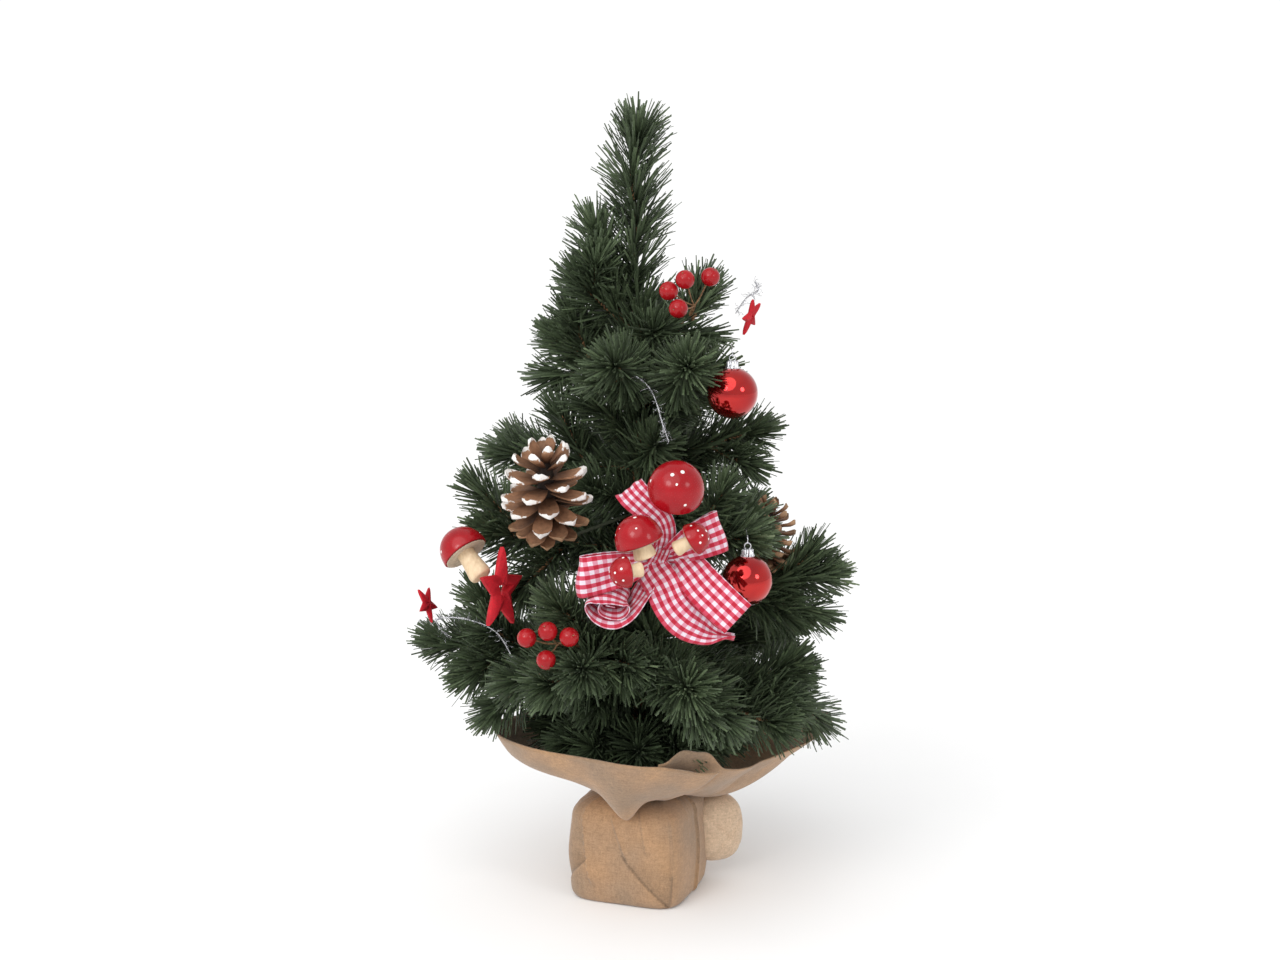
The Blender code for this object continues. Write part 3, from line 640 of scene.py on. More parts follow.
def branch_segments(name, root):
    """Straight pieces of a branch's wire: root to tip, then fork to each side tip."""
    points = node_points(name)
    root = np.array(root)
    reach = np.linalg.norm(points - root, axis=1)
    tip = points[reach > reach.max() - 0.0015].mean(axis=0)
    found = [(root, tip)]
    fork = root + (tip - root) * FORK_AT
    left = points
    while True:
        for start, end in found:
            line = end - start
            part = np.clip((left - start) @ line / (line @ line), 0.0, 1.0)
            off = np.linalg.norm(left - start - part[:, None] * line, axis=1)
            left = left[off > SIDE_TIP_CLEAR]
        if not len(left):
            return found
        reach = np.linalg.norm(left - fork, axis=1)
        if reach.max() < SIDE_TIP_LEAST:
            return found
        far = left[reach.argmax()]
        near = left[np.linalg.norm(left - far, axis=1) < 0.005]
        found.append((fork, near.mean(axis=0)))


def leader_path():
    """Middle line of the leader from slices of its CAD solid."""
    points = node_points("leader")
    low, high = points[:, 2].min(), points[:, 2].max()
    levels = np.unique(np.round(points[:, 2], 4))
    path = [points[np.abs(points[:, 2] - level) < 0.0012].mean(axis=0) for level in levels]
    path = np.array(path)
    heights = np.linspace(low, high - 0.001, 14)
    line = sampled(path, heights, path[:, 2])
    middle = line[:, :2].mean(axis=0)
    line[:, :2] = middle + (line[:, :2] - middle) * LEADER_BOW
    foot = points[points[:, 2] < low + 0.001, :2].mean(axis=0)
    line[:, :2] += (foot - line[0, :2]) * np.linspace(1, 0, 14)[:, None]
    return line


def smooth_path(points, count):
    """Same path resampled evenly by length."""
    points = np.asarray(points, float)
    length = run_along(points)
    return sampled(points, np.linspace(0.0, length[-1], count), length)


def bent_path(start, end, rng, wander, count=16):
    """Wire from start to end that wanders a little off the straight line between them."""
    line = end - start
    part = np.linspace(0.0, 1.0, count)
    side = unit(np.cross(line, rng.normal(size=3)))
    other = unit(np.cross(line, side))
    curve = wander * np.sin(np.pi * part) * rng.uniform(0.6, 1.0)
    wave = np.sin(2.0 * np.pi * part + rng.uniform(0, 6.28))
    ripple = wander * 0.35 * wave * part * (1 - part) * 4
    return start + part[:, None] * line + curve[:, None] * side + ripple[:, None] * other


def frames_along(path):
    """Unit tangent and two unit sides at each point of a path."""
    tangent = unit(np.gradient(path, axis=0))
    reference = np.array([0.31, 0.22, 0.93])
    side = unit(np.cross(tangent, reference))
    return tangent, side, np.cross(tangent, side)


class Obstacles:
    """Ornaments and cloth that no needle may pass through."""

    def __init__(self, names):
        points, faces, start = [], [], 0
        for name in names:
            mesh = frame["nodes"][name].data
            points.extend(vertex.co[:] for vertex in mesh.vertices)
            faces.extend([start + index for index in face.vertices] for face in mesh.polygons)
            start += len(mesh.vertices)
        self.tree = BVHTree.FromPolygons(points, faces, epsilon=0.0)

    def blocks(self, base, direction, length):
        """Whether a straight run from base meets an obstacle."""
        return self.tree.ray_cast(Vector(base), Vector(direction), length * 1.04)[0] is not None

    def cut_by(self, path):
        """Whether any step of a path meets an obstacle."""
        for start, end in zip(path, path[1:]):
            step = end - start
            if self.blocks(start, unit(step), np.linalg.norm(step)):
                return True
        return False


def hides_ornament(point):
    """Whether a needle's end stands in front of an ornament that is meant to be seen."""
    return SHOWN_IN_FRONT.blocks(point, VIEW_LINE, HIDING_REACH)


def clear_directions(obstacles, base, aim, length, tangent, rng):
    """Aims each needle that would cross an obstacle somewhere else, or drops it after a few tries."""
    keep = np.ones(len(base), bool)
    for index in range(len(base)):
        tries = 0
        while obstacles.blocks(base[index], aim[index], length[index]) or hides_ornament(
            base[index] + aim[index] * length[index] * 0.85
        ):
            tries += 1
            if tries > AIM_TRIES:
                keep[index] = False
                break
            turn = rng.normal(size=3)
            turn -= tangent[index] * (turn @ tangent[index])
            forward = rng.uniform(0.5, 1.3)
            aim[index] = unit(unit(turn) + tangent[index] * forward)
    return keep


def needle_mesh(name, base, aim, curve, width_axis, length, width, tone):
    """All the needles of one piece: flat, ridged blades, each a closed prism."""
    count = len(base)
    side = width_axis - aim * np.sum(width_axis * aim, axis=1, keepdims=True)
    side = unit(side)
    face = np.cross(side, aim)
    rings = []
    along = []
    for part, scale in NEEDLE_RINGS:
        middle = base + aim * (length * part)[:, None] + curve * (length * part**2)[:, None]
        half = side * (width * scale / 2)[:, None]
        ridge = face * (NEEDLE_RIDGE * scale)
        rings.append(np.stack([middle - half, middle + half, middle + ridge], axis=1))
        along.append(part)
    points = np.stack(rings, axis=1).reshape(-1, 3)
    corner = 3 * len(NEEDLE_RINGS)
    faces = []
    for ring in range(len(NEEDLE_RINGS) - 1):
        low, high = ring * 3, ring * 3 + 3
        for a in range(3):
            b = (a + 1) % 3
            faces.append((low + a, low + b, high + b))
            faces.append((low + a, high + b, high + a))
    faces.append((0, 2, 1))
    last = corner - 3
    faces.append((last, last + 1, last + 2))
    faces = np.array(faces)
    everything = (faces[None] + (np.arange(count) * corner)[:, None, None]).reshape(-1, 3)
    mesh = array_mesh(name, points, everything, smooth=False)
    set_attribute(mesh, "along", np.tile(np.repeat(along, 3), count))
    set_attribute(mesh, "tone", np.repeat(tone, corner))
    add_bake_layout(mesh, count, len(faces))
    return mesh


def add_bake_layout(mesh, cells, faces_per_cell):
    """UV layer with one small cell for each needle, so that a bake keeps its own colour."""
    across = int(math.ceil(math.sqrt(cells)))
    layer = mesh.uv_layers.new(name="OFBake")
    cell = np.arange(cells)
    corner = np.stack([cell % across, cell // across], axis=1) / across
    triangle = np.array([[0.2, 0.2], [0.8, 0.2], [0.5, 0.8]]) / across
    values = corner[:, None, None] + np.tile(triangle, (faces_per_cell, 1, 1))[None]
    layer.data.foreach_set("uv", values.astype(np.float32).ravel())


def needles_on(path, count, rng, obstacles, start=0.0, full=1.0, closing=TIP_CLOSING, tipped=True):
    """Needles in spirals round a wire, swept towards its tip. Returns the arrays of needle_mesh."""
    tangents, sides, _ = frames_along(path)
    length = run_along(path)
    at = np.sort(rng.uniform(start, length[-1], count))
    if tipped:
        extra = length[-1] - np.abs(rng.normal(0.0, 0.004, int(count * TIP_CLUMP)))
        at = np.clip(np.concatenate([at, extra]), start, length[-1])
    part = at / length[-1]
    base, tangent = sampled(path, at, length), unit(sampled(tangents, at, length))
    side = unit(sampled(sides, at, length))
    other = np.cross(tangent, side)
    strand = rng.integers(0, 2, len(at)) * np.pi
    turn = at / TWIST_PITCH * 2 * np.pi + strand + rng.normal(0.0, 0.55, len(at))
    radial = side * np.cos(turn)[:, None] + other * np.sin(turn)[:, None]
    near_tip = np.exp(-(((length[-1] - at) / TIP_REACH) ** 2)) if tipped else np.zeros(len(at))
    spread = rng.normal(0.0, SWEEP_SPREAD, len(at))
    sweep = np.radians(NEEDLE_SWEEP - SWEEP_LOSS * part + spread)
    closed = near_tip * np.radians(rng.uniform(-6.0, closing, len(at)))
    sweep = np.clip(sweep - closed, *SWEEP_LIMITS)
    aim = unit(tangent * np.cos(sweep)[:, None] + radial * np.sin(sweep)[:, None])
    size = NEEDLE_LENGTH * full * (1.0 - 0.22 * near_tip) * rng.uniform(*LENGTH_SPREAD, len(at))
    size *= 0.72 + 0.28 * np.clip((at - start) / 0.012, 0.0, 1.0)
    keep = clear_directions(obstacles, base, aim, size, tangent, rng)
    curve = tangent * rng.uniform(*CURVE_SPREAD, (len(at), 1))
    curve = curve + rng.normal(0.0, 0.035, (len(at), 3))
    across = np.cross(aim, tangent) + rng.normal(0.0, 0.45, (len(at), 3))
    width = NEEDLE_WIDTH * rng.uniform(*WIDTH_SPREAD, len(at))
    clump = 0.5 + 0.5 * np.sin(at / CLUMP_RUN + rng.uniform(0, 6.28))
    tone = np.clip(0.16 + 0.28 * clump + rng.normal(0.0, 0.17, len(at)) + 0.10 * near_tip, 0.0, 1.0)
    arrays = (base, aim, curve, across, size, width, tone)
    return [values[keep] for values in arrays]


def tube(path, radius, sides=6):
    """Closed tube along a path, as points and faces; the radius may vary along it."""
    path = np.asarray(path, float)
    _, side, other = frames_along(path)
    radii = np.broadcast_to(radius, len(path))
    angles = np.arange(sides) * 2 * np.pi / sides
    turn = angles[None, :, None]
    ring = np.cos(turn) * side[:, None] + np.sin(turn) * other[:, None]
    points = path[:, None] + ring * radii[:, None, None]
    points = np.concatenate([points.reshape(-1, 3), path[:1], path[-1:]])
    faces = []
    for row in range(len(path) - 1):
        for a in range(sides):
            b = (a + 1) % sides
            low, high = row * sides, (row + 1) * sides
            faces.append((low + a, low + b, high + b))
            faces.append((low + a, high + b, high + a))
    first, last = len(points) - 2, len(points) - 1
    top = (len(path) - 1) * sides
    for a in range(sides):
        b = (a + 1) % sides
        faces.append((first, b, a))
        faces.append((last, top + a, top + b))
    return points, np.array(faces)


def twisted(path, radius, pitch, strands=2, sides=5):
    """Strands of wire wound round each other along a path."""
    steps = np.linalg.norm(np.diff(path, axis=0), axis=1)
    total = steps.sum()
    count = max(8, int(total / pitch * 7))
    fine = smooth_path(path, count)
    _, side, other = frames_along(fine)
    made = []
    for strand in range(strands):
        turn = np.linspace(0.0, total / pitch * 2 * np.pi, count) + strand * 2 * np.pi / strands
        wound = fine + (side * np.cos(turn)[:, None] + other * np.sin(turn)[:, None]) * radius
        made.append(tube(wound, radius * 1.02, sides))
    return gathered(made)


def gathered(parts):
    """Several (points, faces) as one, where faces may have any number of corners."""
    points, faces, start = [], [], 0
    for some, polygons in parts:
        points.extend(some)
        faces.extend(tuple(index + start for index in polygon) for polygon in polygons)
        start += len(some)
    return np.array(points), faces


def add_needles(name, blades, body, node):
    """One piece from the arrays of several runs of needles."""
    arrays = [np.concatenate(group) for group in zip(*blades)]
    add_piece(name, needle_mesh(name, *arrays), body, "needles", [node])


def add_foliage(name, wires, rng, obstacles, full=1.0, closing=TIP_CLOSING):
    """Needle piece and stem piece of one branch; each wire is a path and the length left bare."""
    short_by = [STEM_STOPS.get(name, STEM_STOP), SIDE_STOPS.get(name, STEM_STOP), STEM_STOP]
    blades = []
    stems = []
    for path, bare in wires:
        total = np.linalg.norm(np.diff(path, axis=0), axis=1).sum()
        kept = smooth_path(path, 40)
        stop = int(40 * (1 - short_by[min(len(blades), len(short_by) - 1)] / total))
        kept = smooth_path(kept[: max(stop, 8)], 24)
        length = np.linalg.norm(np.diff(kept, axis=0), axis=1).sum()
        count = int((length - bare) * NEEDLES_PER_METRE)
        blades.append(needles_on(kept, count, rng, obstacles, bare, full, closing))
        stems.append(twisted(kept, STEM_RADIUS, TWIST_PITCH))
    add_needles(name + "_needles", blades, name, name)
    mesh = array_mesh(name + "_stem", *gathered(stems))
    add_piece(name + "_stem", mesh, name, "stem", [name])


def twig_path(start, direction, length, obstacles, unused=0.0):
    """Short side shoot, or None when an ornament stands in the way of its wire."""
    path = smooth_path([start, start + unit(direction) * length], 16)
    wire = path[: 16 - int(16 * unused / length)]
    return None if obstacles.cut_by(wire) else path


def branch_twigs(main, rng, obstacles):
    """Short shoots that fill out a branch between its root and its tip."""
    line = main[-1] - main[0]
    length = np.linalg.norm(line)
    forward = line / length
    side = unit(np.cross(forward, UP))
    rise = np.cross(side, forward)
    found = []
    for number in range(TWIGS_PER_BRANCH):
        for _ in range(AIM_TRIES):
            at = rng.uniform(*TWIG_AT)
            yaw = math.radians(rng.uniform(*TWIG_YAW)) * (1 if number % 2 else -1)
            roll = math.radians(rng.uniform(-TWIG_ROLL, TWIG_ROLL))
            sideways = side * math.cos(roll) + rise * math.sin(roll)
            direction = forward * math.cos(yaw) + sideways * math.sin(yaw)
            reach = min(length * (1.0 - at) * 0.92 + 0.012, TWIG_LONGEST)
            start = main[0] + line * at
            path = twig_path(start, direction, reach, obstacles)
            if path is not None and inside_tree(path[-1]):
                found.append(path)
                break
    return found


def designed_shoots(main, name, obstacles):
    """Shoots given one by one, where the tree is fuller than its main branches make it."""
    line = main[-1] - main[0]
    forward = unit(line)
    bearing = math.atan2(forward[0], -forward[1])
    level = math.asin(forward[2])
    found = []
    for share, turn, rise, length in SHOOTS.get(name, ()):
        a, e = bearing + math.radians(turn), level + math.radians(rise)
        direction = np.array([math.sin(a) * math.cos(e), -math.cos(a) * math.cos(e), math.sin(e)])
        path = twig_path(main[0] + line * share, direction, length + STEM_STOP, obstacles, STEM_STOP)
        if path is not None:
            found.append(path)
    return found


def inside_tree(point):
    """Whether a twig's end stays behind the CAD outline, measured as a cone under the leader."""
    low, high = CAD_BOX
    share = (high.z - point[2]) / (high.z - low.z)
    return math.hypot(point[0], point[1]) < OUTLINE_TOP + OUTLINE_FLARE * share


def trunk_tufts(obstacles, rng):
    """Short shoots straight from the trunk, spread round it by the golden angle."""
    found = []
    for number in range(TUFTS):
        part = number / (TUFTS - 1)
        height = TUFT_LEVEL + TUFT_RISE * part
        reach = TUFT_REACH - TUFT_SHORTER * part
        bearing = number * GOLDEN_ANGLE + rng.uniform(-0.2, 0.2)
        lift = math.radians(-6.0 + 44.0 * part + rng.uniform(-8.0, 8.0))
        direction = outward(bearing, math.tan(lift))
        start = np.array([0.0, 0.0, height]) + unit(direction * [1, 1, 0]) * TRUNK_RADIUS
        path = twig_path(start, direction, reach, obstacles)
        if path is not None:
            found.append(path)
    for number in range(SKIRT):
        bearing = 2 * math.pi * number / SKIRT + rng.uniform(-0.12, 0.12)
        direction = outward(bearing, rng.uniform(0.0, 0.07))
        start = np.array([0.0, 0.0, SKIRT_LEVEL]) + direction * TRUNK_RADIUS
        path = twig_path(start, direction, SKIRT_REACH, obstacles)
        if path is not None:
            found.append(path)
    return found


def add_trunk(rng, obstacles):
    """Bundle of twisted wires, and the short needles that hide it between the branches."""
    low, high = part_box("trunk_wire")
    line = np.linspace(low.z, high.z, 40)
    path = np.stack([np.zeros(40), np.zeros(40), line], axis=1)
    bundle = twisted(path, TRUNK_STRAND, TRUNK_PITCH, strands=4, sides=8)
    add_piece("trunk_wires", array_mesh("trunk_wires", *bundle), "trunk", "stem", ["trunk_wire"])
    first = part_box("neck_tie")[1].z + 0.020
    bare = path[line > first]
    blades = [needles_on(bare, TRUNK_NEEDLES, rng, obstacles, full=1.05, tipped=False)]
    for tuft in trunk_tufts(obstacles, rng):
        kept = tuft[:12]
        length = np.linalg.norm(kept[-1] - kept[0])
        count = int(length * NEEDLES_PER_METRE)
        blades.append(needles_on(kept, count, rng, obstacles, start=0.002))
    add_needles("trunk_needles", blades, "trunk", "trunk_wire")


ORNAMENTS = [
    name for name in frame["nodes"]
    if not name.startswith(PLAIN) and not name.endswith(THIN)
]
OBSTACLES = Obstacles(ORNAMENTS)
SHOWN_IN_FRONT = Obstacles([name for name in ORNAMENTS if name.startswith(IN_FRONT)])
JOINTS = {joint["child"]: joint for joint in frame["joints"]}
add_trunk(np.random.default_rng(7), OBSTACLES)
LEADER_WIRE = [(leader_path(), LEADER_BARE)]
add_foliage("leader", LEADER_WIRE, np.random.default_rng(11), OBSTACLES, LEADER_FULL, LEADER_CLOSING)
BRANCHES = sorted(name for name in frame["nodes"] if name.startswith("branch_"))
for number, branch in enumerate(BRANCHES):
    rng = np.random.default_rng(100 + number)
    wires = []
    for start, end in branch_segments(branch, JOINTS[branch]["pos_m"]):
        wires.append((bent_path(start, end, rng, WANDER), BARE_LENGTH))
    for twig in branch_twigs(wires[0][0], rng, OBSTACLES):
        wires.append((twig, TWIG_BARE))
    for shoot in designed_shoots(wires[0][0], branch, OBSTACLES):
        wires.append((shoot, TWIG_BARE))
    add_foliage(branch, wires, rng, OBSTACLES)


# Turned and placed shapes

NO_ROLL = Quaternion((0, 0, 1), 0.0)


def solid_mesh(name, points, faces, sharp=35.0):
    """Closed mesh with its faces turned outwards."""
    mesh = bpy.data.meshes.new(name)
    mesh.from_pydata([tuple(point) for point in points], [], [tuple(face) for face in faces])
    shape = bmesh.new()
    shape.from_mesh(mesh)
    bmesh.ops.recalc_face_normals(shape, faces=shape.faces)
    shape.to_mesh(mesh)
    shape.free()
    mesh.shade_smooth()
    mesh.set_sharp_from_angle(angle=math.radians(sharp))
    return mesh


def ball_faces(rings, sides):
    """Faces of closed rings of points that end in a single point at both poles."""
    faces = grid_faces(rings, sides, closed=True, start=1)
    last = 1 + (rings - 1) * sides
    for a in range(sides):
        b = (a + 1) % sides
        faces.append((0, 1 + a, 1 + b))
        faces.append((last + sides, last + b, last + a))
    return faces


def lathe(profile, sides=64, wave=None):
    """Closed turned shape; profile is (radius, height) from one end of the axis to the other."""
    points = [(0.0, 0.0, profile[0][1])]
    angles = np.arange(sides) * 2 * np.pi / sides
    for radius, height in profile[1:-1]:
        reach = radius * (1.0 + (wave(angles) if wave else 0.0 * angles))
        points.extend(zip(reach * np.cos(angles), reach * np.sin(angles), [height] * sides))
    points.append((0.0, 0.0, profile[-1][1]))
    return np.array(points), ball_faces(len(profile) - 2, sides)


def stood(shape, centre, axis):
    """A (points, faces) shape turned so that its Z axis lies along axis, then moved to centre."""
    points, faces = shape
    turn = Vector(axis).to_track_quat("Z", "Y") @ NO_ROLL
    return np.asarray(points) @ np.array(turn.to_matrix()).T + np.array(centre), faces


def eased(profile, steps):
    """Smooth curve through the points of a profile."""
    knots = np.array(profile, float)
    at = np.linspace(0.0, len(knots) - 1, steps)
    found = []
    for value in at:
        index = min(int(value), len(knots) - 2)
        part = value - index
        before = knots[max(index - 1, 0)]
        after = knots[min(index + 2, len(knots) - 1)]
        a, b = knots[index], knots[index + 1]
        square = (2 * before - 5 * a + 4 * b - after) * part**2
        spline = 0.5 * (2 * a + (b - before) * part + square)
        found.append(spline + 0.5 * (3 * a - before - 3 * b + after) * part**3)
    return np.array(found)


def turned_axis(points):
    """Axis of a turned solid: the direction whose spread differs from the other two."""
    centre = points.mean(axis=0)
    values, vectors = np.linalg.eigh(np.cov((points - centre).T))
    odd = 2 if values[2] - values[1] > values[1] - values[0] else 0
    axis = vectors[:, odd]
    return centre, axis if axis[2] > 0 else -axis


# Mushrooms


def cap_measure(name):
    """Rim centre, axis and radius of a mushroom cap, and how far down its stem reaches."""
    cap, stem = node_points(name + "_cap"), node_points(name + "_stem")
    axis = unit(cap.mean(axis=0) - stem.mean(axis=0))
    along = (cap - cap.mean(axis=0)) @ axis
    radius = (along.max() - along.min()) / (CAP_HEIGHT + CAP_BELOW)
    centre = cap.mean(axis=0) + axis * (along.min() + CAP_BELOW * radius)
    foot = ((stem - centre) @ axis).min()
    return centre, axis, radius, foot


def sized(profile, radius):
    """Profile given as shares of a radius, in metres."""
    return [(x * radius, y * radius) for x, y in profile]


def gill_ribs(angles):
    return 0.012 * np.sign(np.sin(angles * 36))


def add_mushroom(name, body, dots, flat=CAP_HEIGHT):
    """Lacquered cap with painted dots, a pale underside and a turned stem."""
    centre, axis, radius, foot = cap_measure(name)
    dome = []
    for part in np.linspace(0.0, 1.0, 15):
        angle = math.pi / 2 * part
        bulge = math.sin(angle) ** 0.92
        dome.append((radius * bulge, radius * flat * math.cos(angle) ** 0.96))
    dome += sized(CAP_LIP, radius)
    shape = stood(lathe(dome, 72), centre, axis)
    add_solid(name + "_cap_shell", shape, body, "lacquer", name + "_cap", 60.0)
    shape = stood(lathe(sized(CAP_UNDER, radius), 144, gill_ribs), centre, axis)
    add_solid(name + "_gills", shape, body, "gills", name + "_cap")
    neck, wide = radius * STEM_NECK, radius * STEM_FOOT
    knots = [(0.0, -radius * 0.05), (neck * 0.96, -radius * 0.05), (neck, foot * 0.35)]
    knots += [(wide * 0.96, foot * 0.70), (wide, foot * 0.86), (wide * 0.86, foot * 0.97)]
    knots += [(wide * 0.45, foot), (0.0, foot)]
    profile = [knots[0]] + [tuple(point) for point in eased(knots[1:-1], 22)] + [knots[-1]]
    shape = stood(lathe(profile, 48), centre, axis)
    add_solid(name + "_stem_turned", shape, body, "wood", name + "_stem", 50.0)
    parts = []
    for polar, around, size in dots:
        a, b = math.radians(polar), math.radians(around)
        out = Vector((math.sin(a) * math.cos(b), math.sin(a) * math.sin(b), math.cos(a)))
        place = Vector((out.x * radius, out.y * radius, out.z * radius * flat))
        lens = [(0.0, 0.00028), (size * 0.55, 0.00022), (size * 0.92, 0.00006)]
        lens += [(size, -0.0003), (0.0, -0.0004)]
        parts.append(stood(stood(lathe(lens, 20), place, out), centre, axis))
    add_solid(name + "_dots", gathered(parts), body, "white", name + "_cap", 60.0)


# Pinecones


def scale_shape(width, length, lift, curl):
    """One rounded scale along +X, cupped upwards, with its paint and along values."""
    rows, columns = 11, 9
    top, low, along, rim = [], [], [], []
    for row in range(rows):
        u = row / (rows - 1)
        half = width / 2 * (0.42 + 0.58 * math.sin(math.pi / 2 * min(1.0, u / 0.70)) ** 1.2)
        if u > 0.70:
            half *= math.sqrt(max(0.0, 1.0 - ((u - 0.70) / 0.315) ** 2))
        for column in range(columns):
            v = column / (columns - 1) * 2 - 1
            x = length * (u - 0.05 * v * v * u)
            rise = lift * u * u + curl * max(0.0, u - 0.78) ** 1.5
            cup = 0.10 * width * v * v * math.sin(math.pi * 0.5 * min(1.0, u * 1.3))
            thick = 0.00045 + 0.00055 * u + 0.00025 * max(0.0, (u - 0.8) / 0.2)
            thick *= 1 - 0.45 * v * v
            top.append((x, half * v, rise + cup + thick))
            low.append((x, half * v, rise + cup - thick))
            along.append(u)
            side = (abs(v) - 0.90) * 5.0 if u > 0.72 else 0.0
            rim.append(max((u - PAINT_FROM) / (1.0 - PAINT_FROM), side))
    count = rows * columns
    faces = []
    for row in range(rows - 1):
        for column in range(columns - 1):
            a = row * columns + column
            faces.append((a, a + columns, a + columns + 1, a + 1))
            faces.append((count + a, count + a + 1, count + a + columns + 1, count + a + columns))
    border = [row * columns for row in range(rows)]
    border += [(rows - 1) * columns + column for column in range(1, columns)]
    border += [row * columns + columns - 1 for row in range(rows - 2, -1, -1)]
    border += [column for column in range(columns - 2, 0, -1)]
    for a, b in zip(border, border[1:] + border[:1]):
        faces.append((a, b, count + b, count + a))
    return np.array(top + low), faces, np.array(along * 2), np.clip(np.array(rim * 2), 0.0, 1.0)


def add_pinecone(name, body, painted, seed):
    """Open cone: a dark core with rounded scales set in a spiral."""
    points = node_points(name)
    centre, axis = turned_axis(points)
    along = (points - centre) @ axis
    base = centre + axis * along.min()
    length = along.max() - along.min()
    off = points - centre - along[:, None] * axis
    radius = np.linalg.norm(off, axis=1).max()
    rng = np.random.default_rng(seed)
    parts, paint, tone, run = [], [], [], []
    for number in range(CONE_SCALES):
        t = (number + 0.5) / CONE_SCALES
        around = number * GOLDEN_ANGLE + rng.normal(0.0, 0.05)
        open_angle = CONE_OPEN - CONE_CLOSING * t - CONE_TIP_CLOSING * t**4
        open_angle = math.radians(open_angle + rng.normal(0.0, 2.5))
        reach = radius * np.interp(t, CONE_LEVELS, CONE_REACH)
        width = radius * np.interp(t, CONE_LEVELS, CONE_WIDTH) * rng.uniform(0.92, 1.08)
        height = length * (0.10 + 0.70 * t)
        shape, faces, u, rim = scale_shape(width, reach, 0.05 * reach, 0.9 * reach)
        tilt = Matrix.Rotation(-(math.pi / 2 - open_angle), 3, "Y")
        spin = Matrix.Rotation(around, 3, "Z")
        shape = shape @ np.array(tilt).T + np.array([radius * 0.05, 0.0, 0.0])
        shape = shape @ np.array(spin).T + np.array([0.0, 0.0, height])
        parts.append((shape, faces))
        amount = painted * (1.0 if t > 0.30 else 0.0) * rng.uniform(0.85, 1.15)
        paint.append(rim * amount)
        tone.append(np.full(len(shape), rng.uniform(0.0, 1.0)))
        run.append(u)
    core = [(0.0, 0.0), (radius * 0.16, 0.0), (radius * 0.20, length * 0.3)]
    core = eased(core + [(radius * 0.16, length * 0.7), (0.0, length * 0.86)], 12)
    core[0, 0] = core[-1, 0] = 0.0
    parts.append(lathe(core, 16))
    for values in (paint, tone, run):
        values.append(np.zeros(len(parts[-1][0])))
    shape = stood(gathered(parts), base, axis)
    paint, tone, run = [np.concatenate(values) for values in (paint, tone, run)]
    add_solid(name + "_scales", shape, body, "cone", name, 60.0, paint=paint, tone=tone, along=run)


# Baubles, berries and stars


def ball_measure(node):
    """Middle and radius of a round CAD node."""
    low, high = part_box(node)
    return np.array((low + high) / 2), (high.z - low.z) / 2


def cap_crimps(angles):
    return 0.05 * np.cos(angles * 18)


def add_bauble(name, body):
    """Mirror ball with a crimped cap, a loop and the hook that hangs it from its branch."""
    centre, radius = ball_measure(name + "_ball")
    profile = [(radius * math.sin(a), radius * math.cos(a)) for a in np.linspace(0.0, math.pi, 41)]
    profile[0], profile[-1] = (0.0, radius), (0.0, -radius)
    points, faces = lathe(profile, 80)
    add_solid(name + "_glass", (points + centre, faces), body, "chrome", name + "_ball", 80.0)
    top = radius + 0.0001
    cap = [(reach, top + height) for reach, height in HANGER_CAP]
    parts = [lathe(cap, 72, cap_crimps)]
    turns = np.linspace(-0.3 * math.pi, 1.3 * math.pi, 22)
    level = 0.0 * turns
    ring = np.stack([np.cos(turns) * 0.0017, level, np.sin(turns) * 0.0017 + top + 0.0047], axis=1)
    parts.append(tube(ring, 0.0003, 8))
    hook = np.linspace(0.1 * math.pi, 1.6 * math.pi, 22)
    level = np.cos(hook) * 0.0022 + 0.0022
    bend = np.stack([0.0 * hook, level, np.sin(hook) * 0.0022 + top + 0.0078], axis=1)
    run = np.array([[0.0, 0.0044 + 0.0020 * k, top + 0.0080 + 0.0006 * k] for k in range(1, 6)])
    parts.append(tube(np.concatenate([bend[::-1], run]), 0.00028, 8))
    points, faces = gathered(parts)
    add_solid(name + "_hanger", (points + centre, faces), body, "silver", name + "_cap", 50.0)


def add_berries(name, body):
    """Lacquered berries, each with a dimple at its end, on thin wound stems."""
    wire = node_points(name + "_wire")
    parts = []
    middles = []
    for number in range(1, BERRIES + 1):
        node = f"{name}_{number}"
        centre, radius = ball_measure(node)
        near = wire[np.argsort(np.linalg.norm(wire - centre, axis=1))[:4]].mean(axis=0)
        axis = unit(centre - near)
        middles.append((centre, axis, radius, near))
        profile = []
        for a in np.linspace(0.0, math.pi, 31):
            dimple = 0.10 * math.exp(-((a / 0.16) ** 2))
            dimple += 0.05 * math.exp(-(((math.pi - a) / 0.2) ** 2))
            profile.append((radius * math.sin(a), radius * (1.0 - dimple) * math.cos(a)))
        profile[0] = (0.0, profile[0][1])
        profile[-1] = (0.0, profile[-1][1])
        add_solid(node + "_skin", stood(lathe(profile, 48), centre, axis), body, "berry", node, 80.0)
        parts.append(stood(lathe(BERRY_TIP, 12), centre + axis * radius * 0.92, axis))
    centres = np.array([middle[0] for middle in middles])
    foot = wire[np.argmax(np.linalg.norm(wire - centres.mean(axis=0), axis=1))]
    junction = junction_of(wire)
    for centre, axis, radius, near in middles:
        bend = (near + junction) / 2 + np.array([0.0, 0.0008, -0.0010])
        line = eased([junction, bend, near + axis * 0.0005], 12)
        parts.append(tube(line, 0.00042, 8))
    line = smooth_path([foot, junction], 12)
    parts.append(twisted(line, 0.0005, 0.003))
    add_solid(name + "_stalks", gathered(parts), body, "stem", name + "_wire", 50.0)


def junction_of(wire):
    """Point where the stalks of a pick meet: the part of its wire with the most vertices round it."""
    crowd = [(np.linalg.norm(wire - point, axis=1) < 0.0016).sum() for point in wire]
    best = wire[np.argmax(crowd)]
    return wire[np.linalg.norm(wire - best, axis=1) < 0.0018].mean(axis=0)


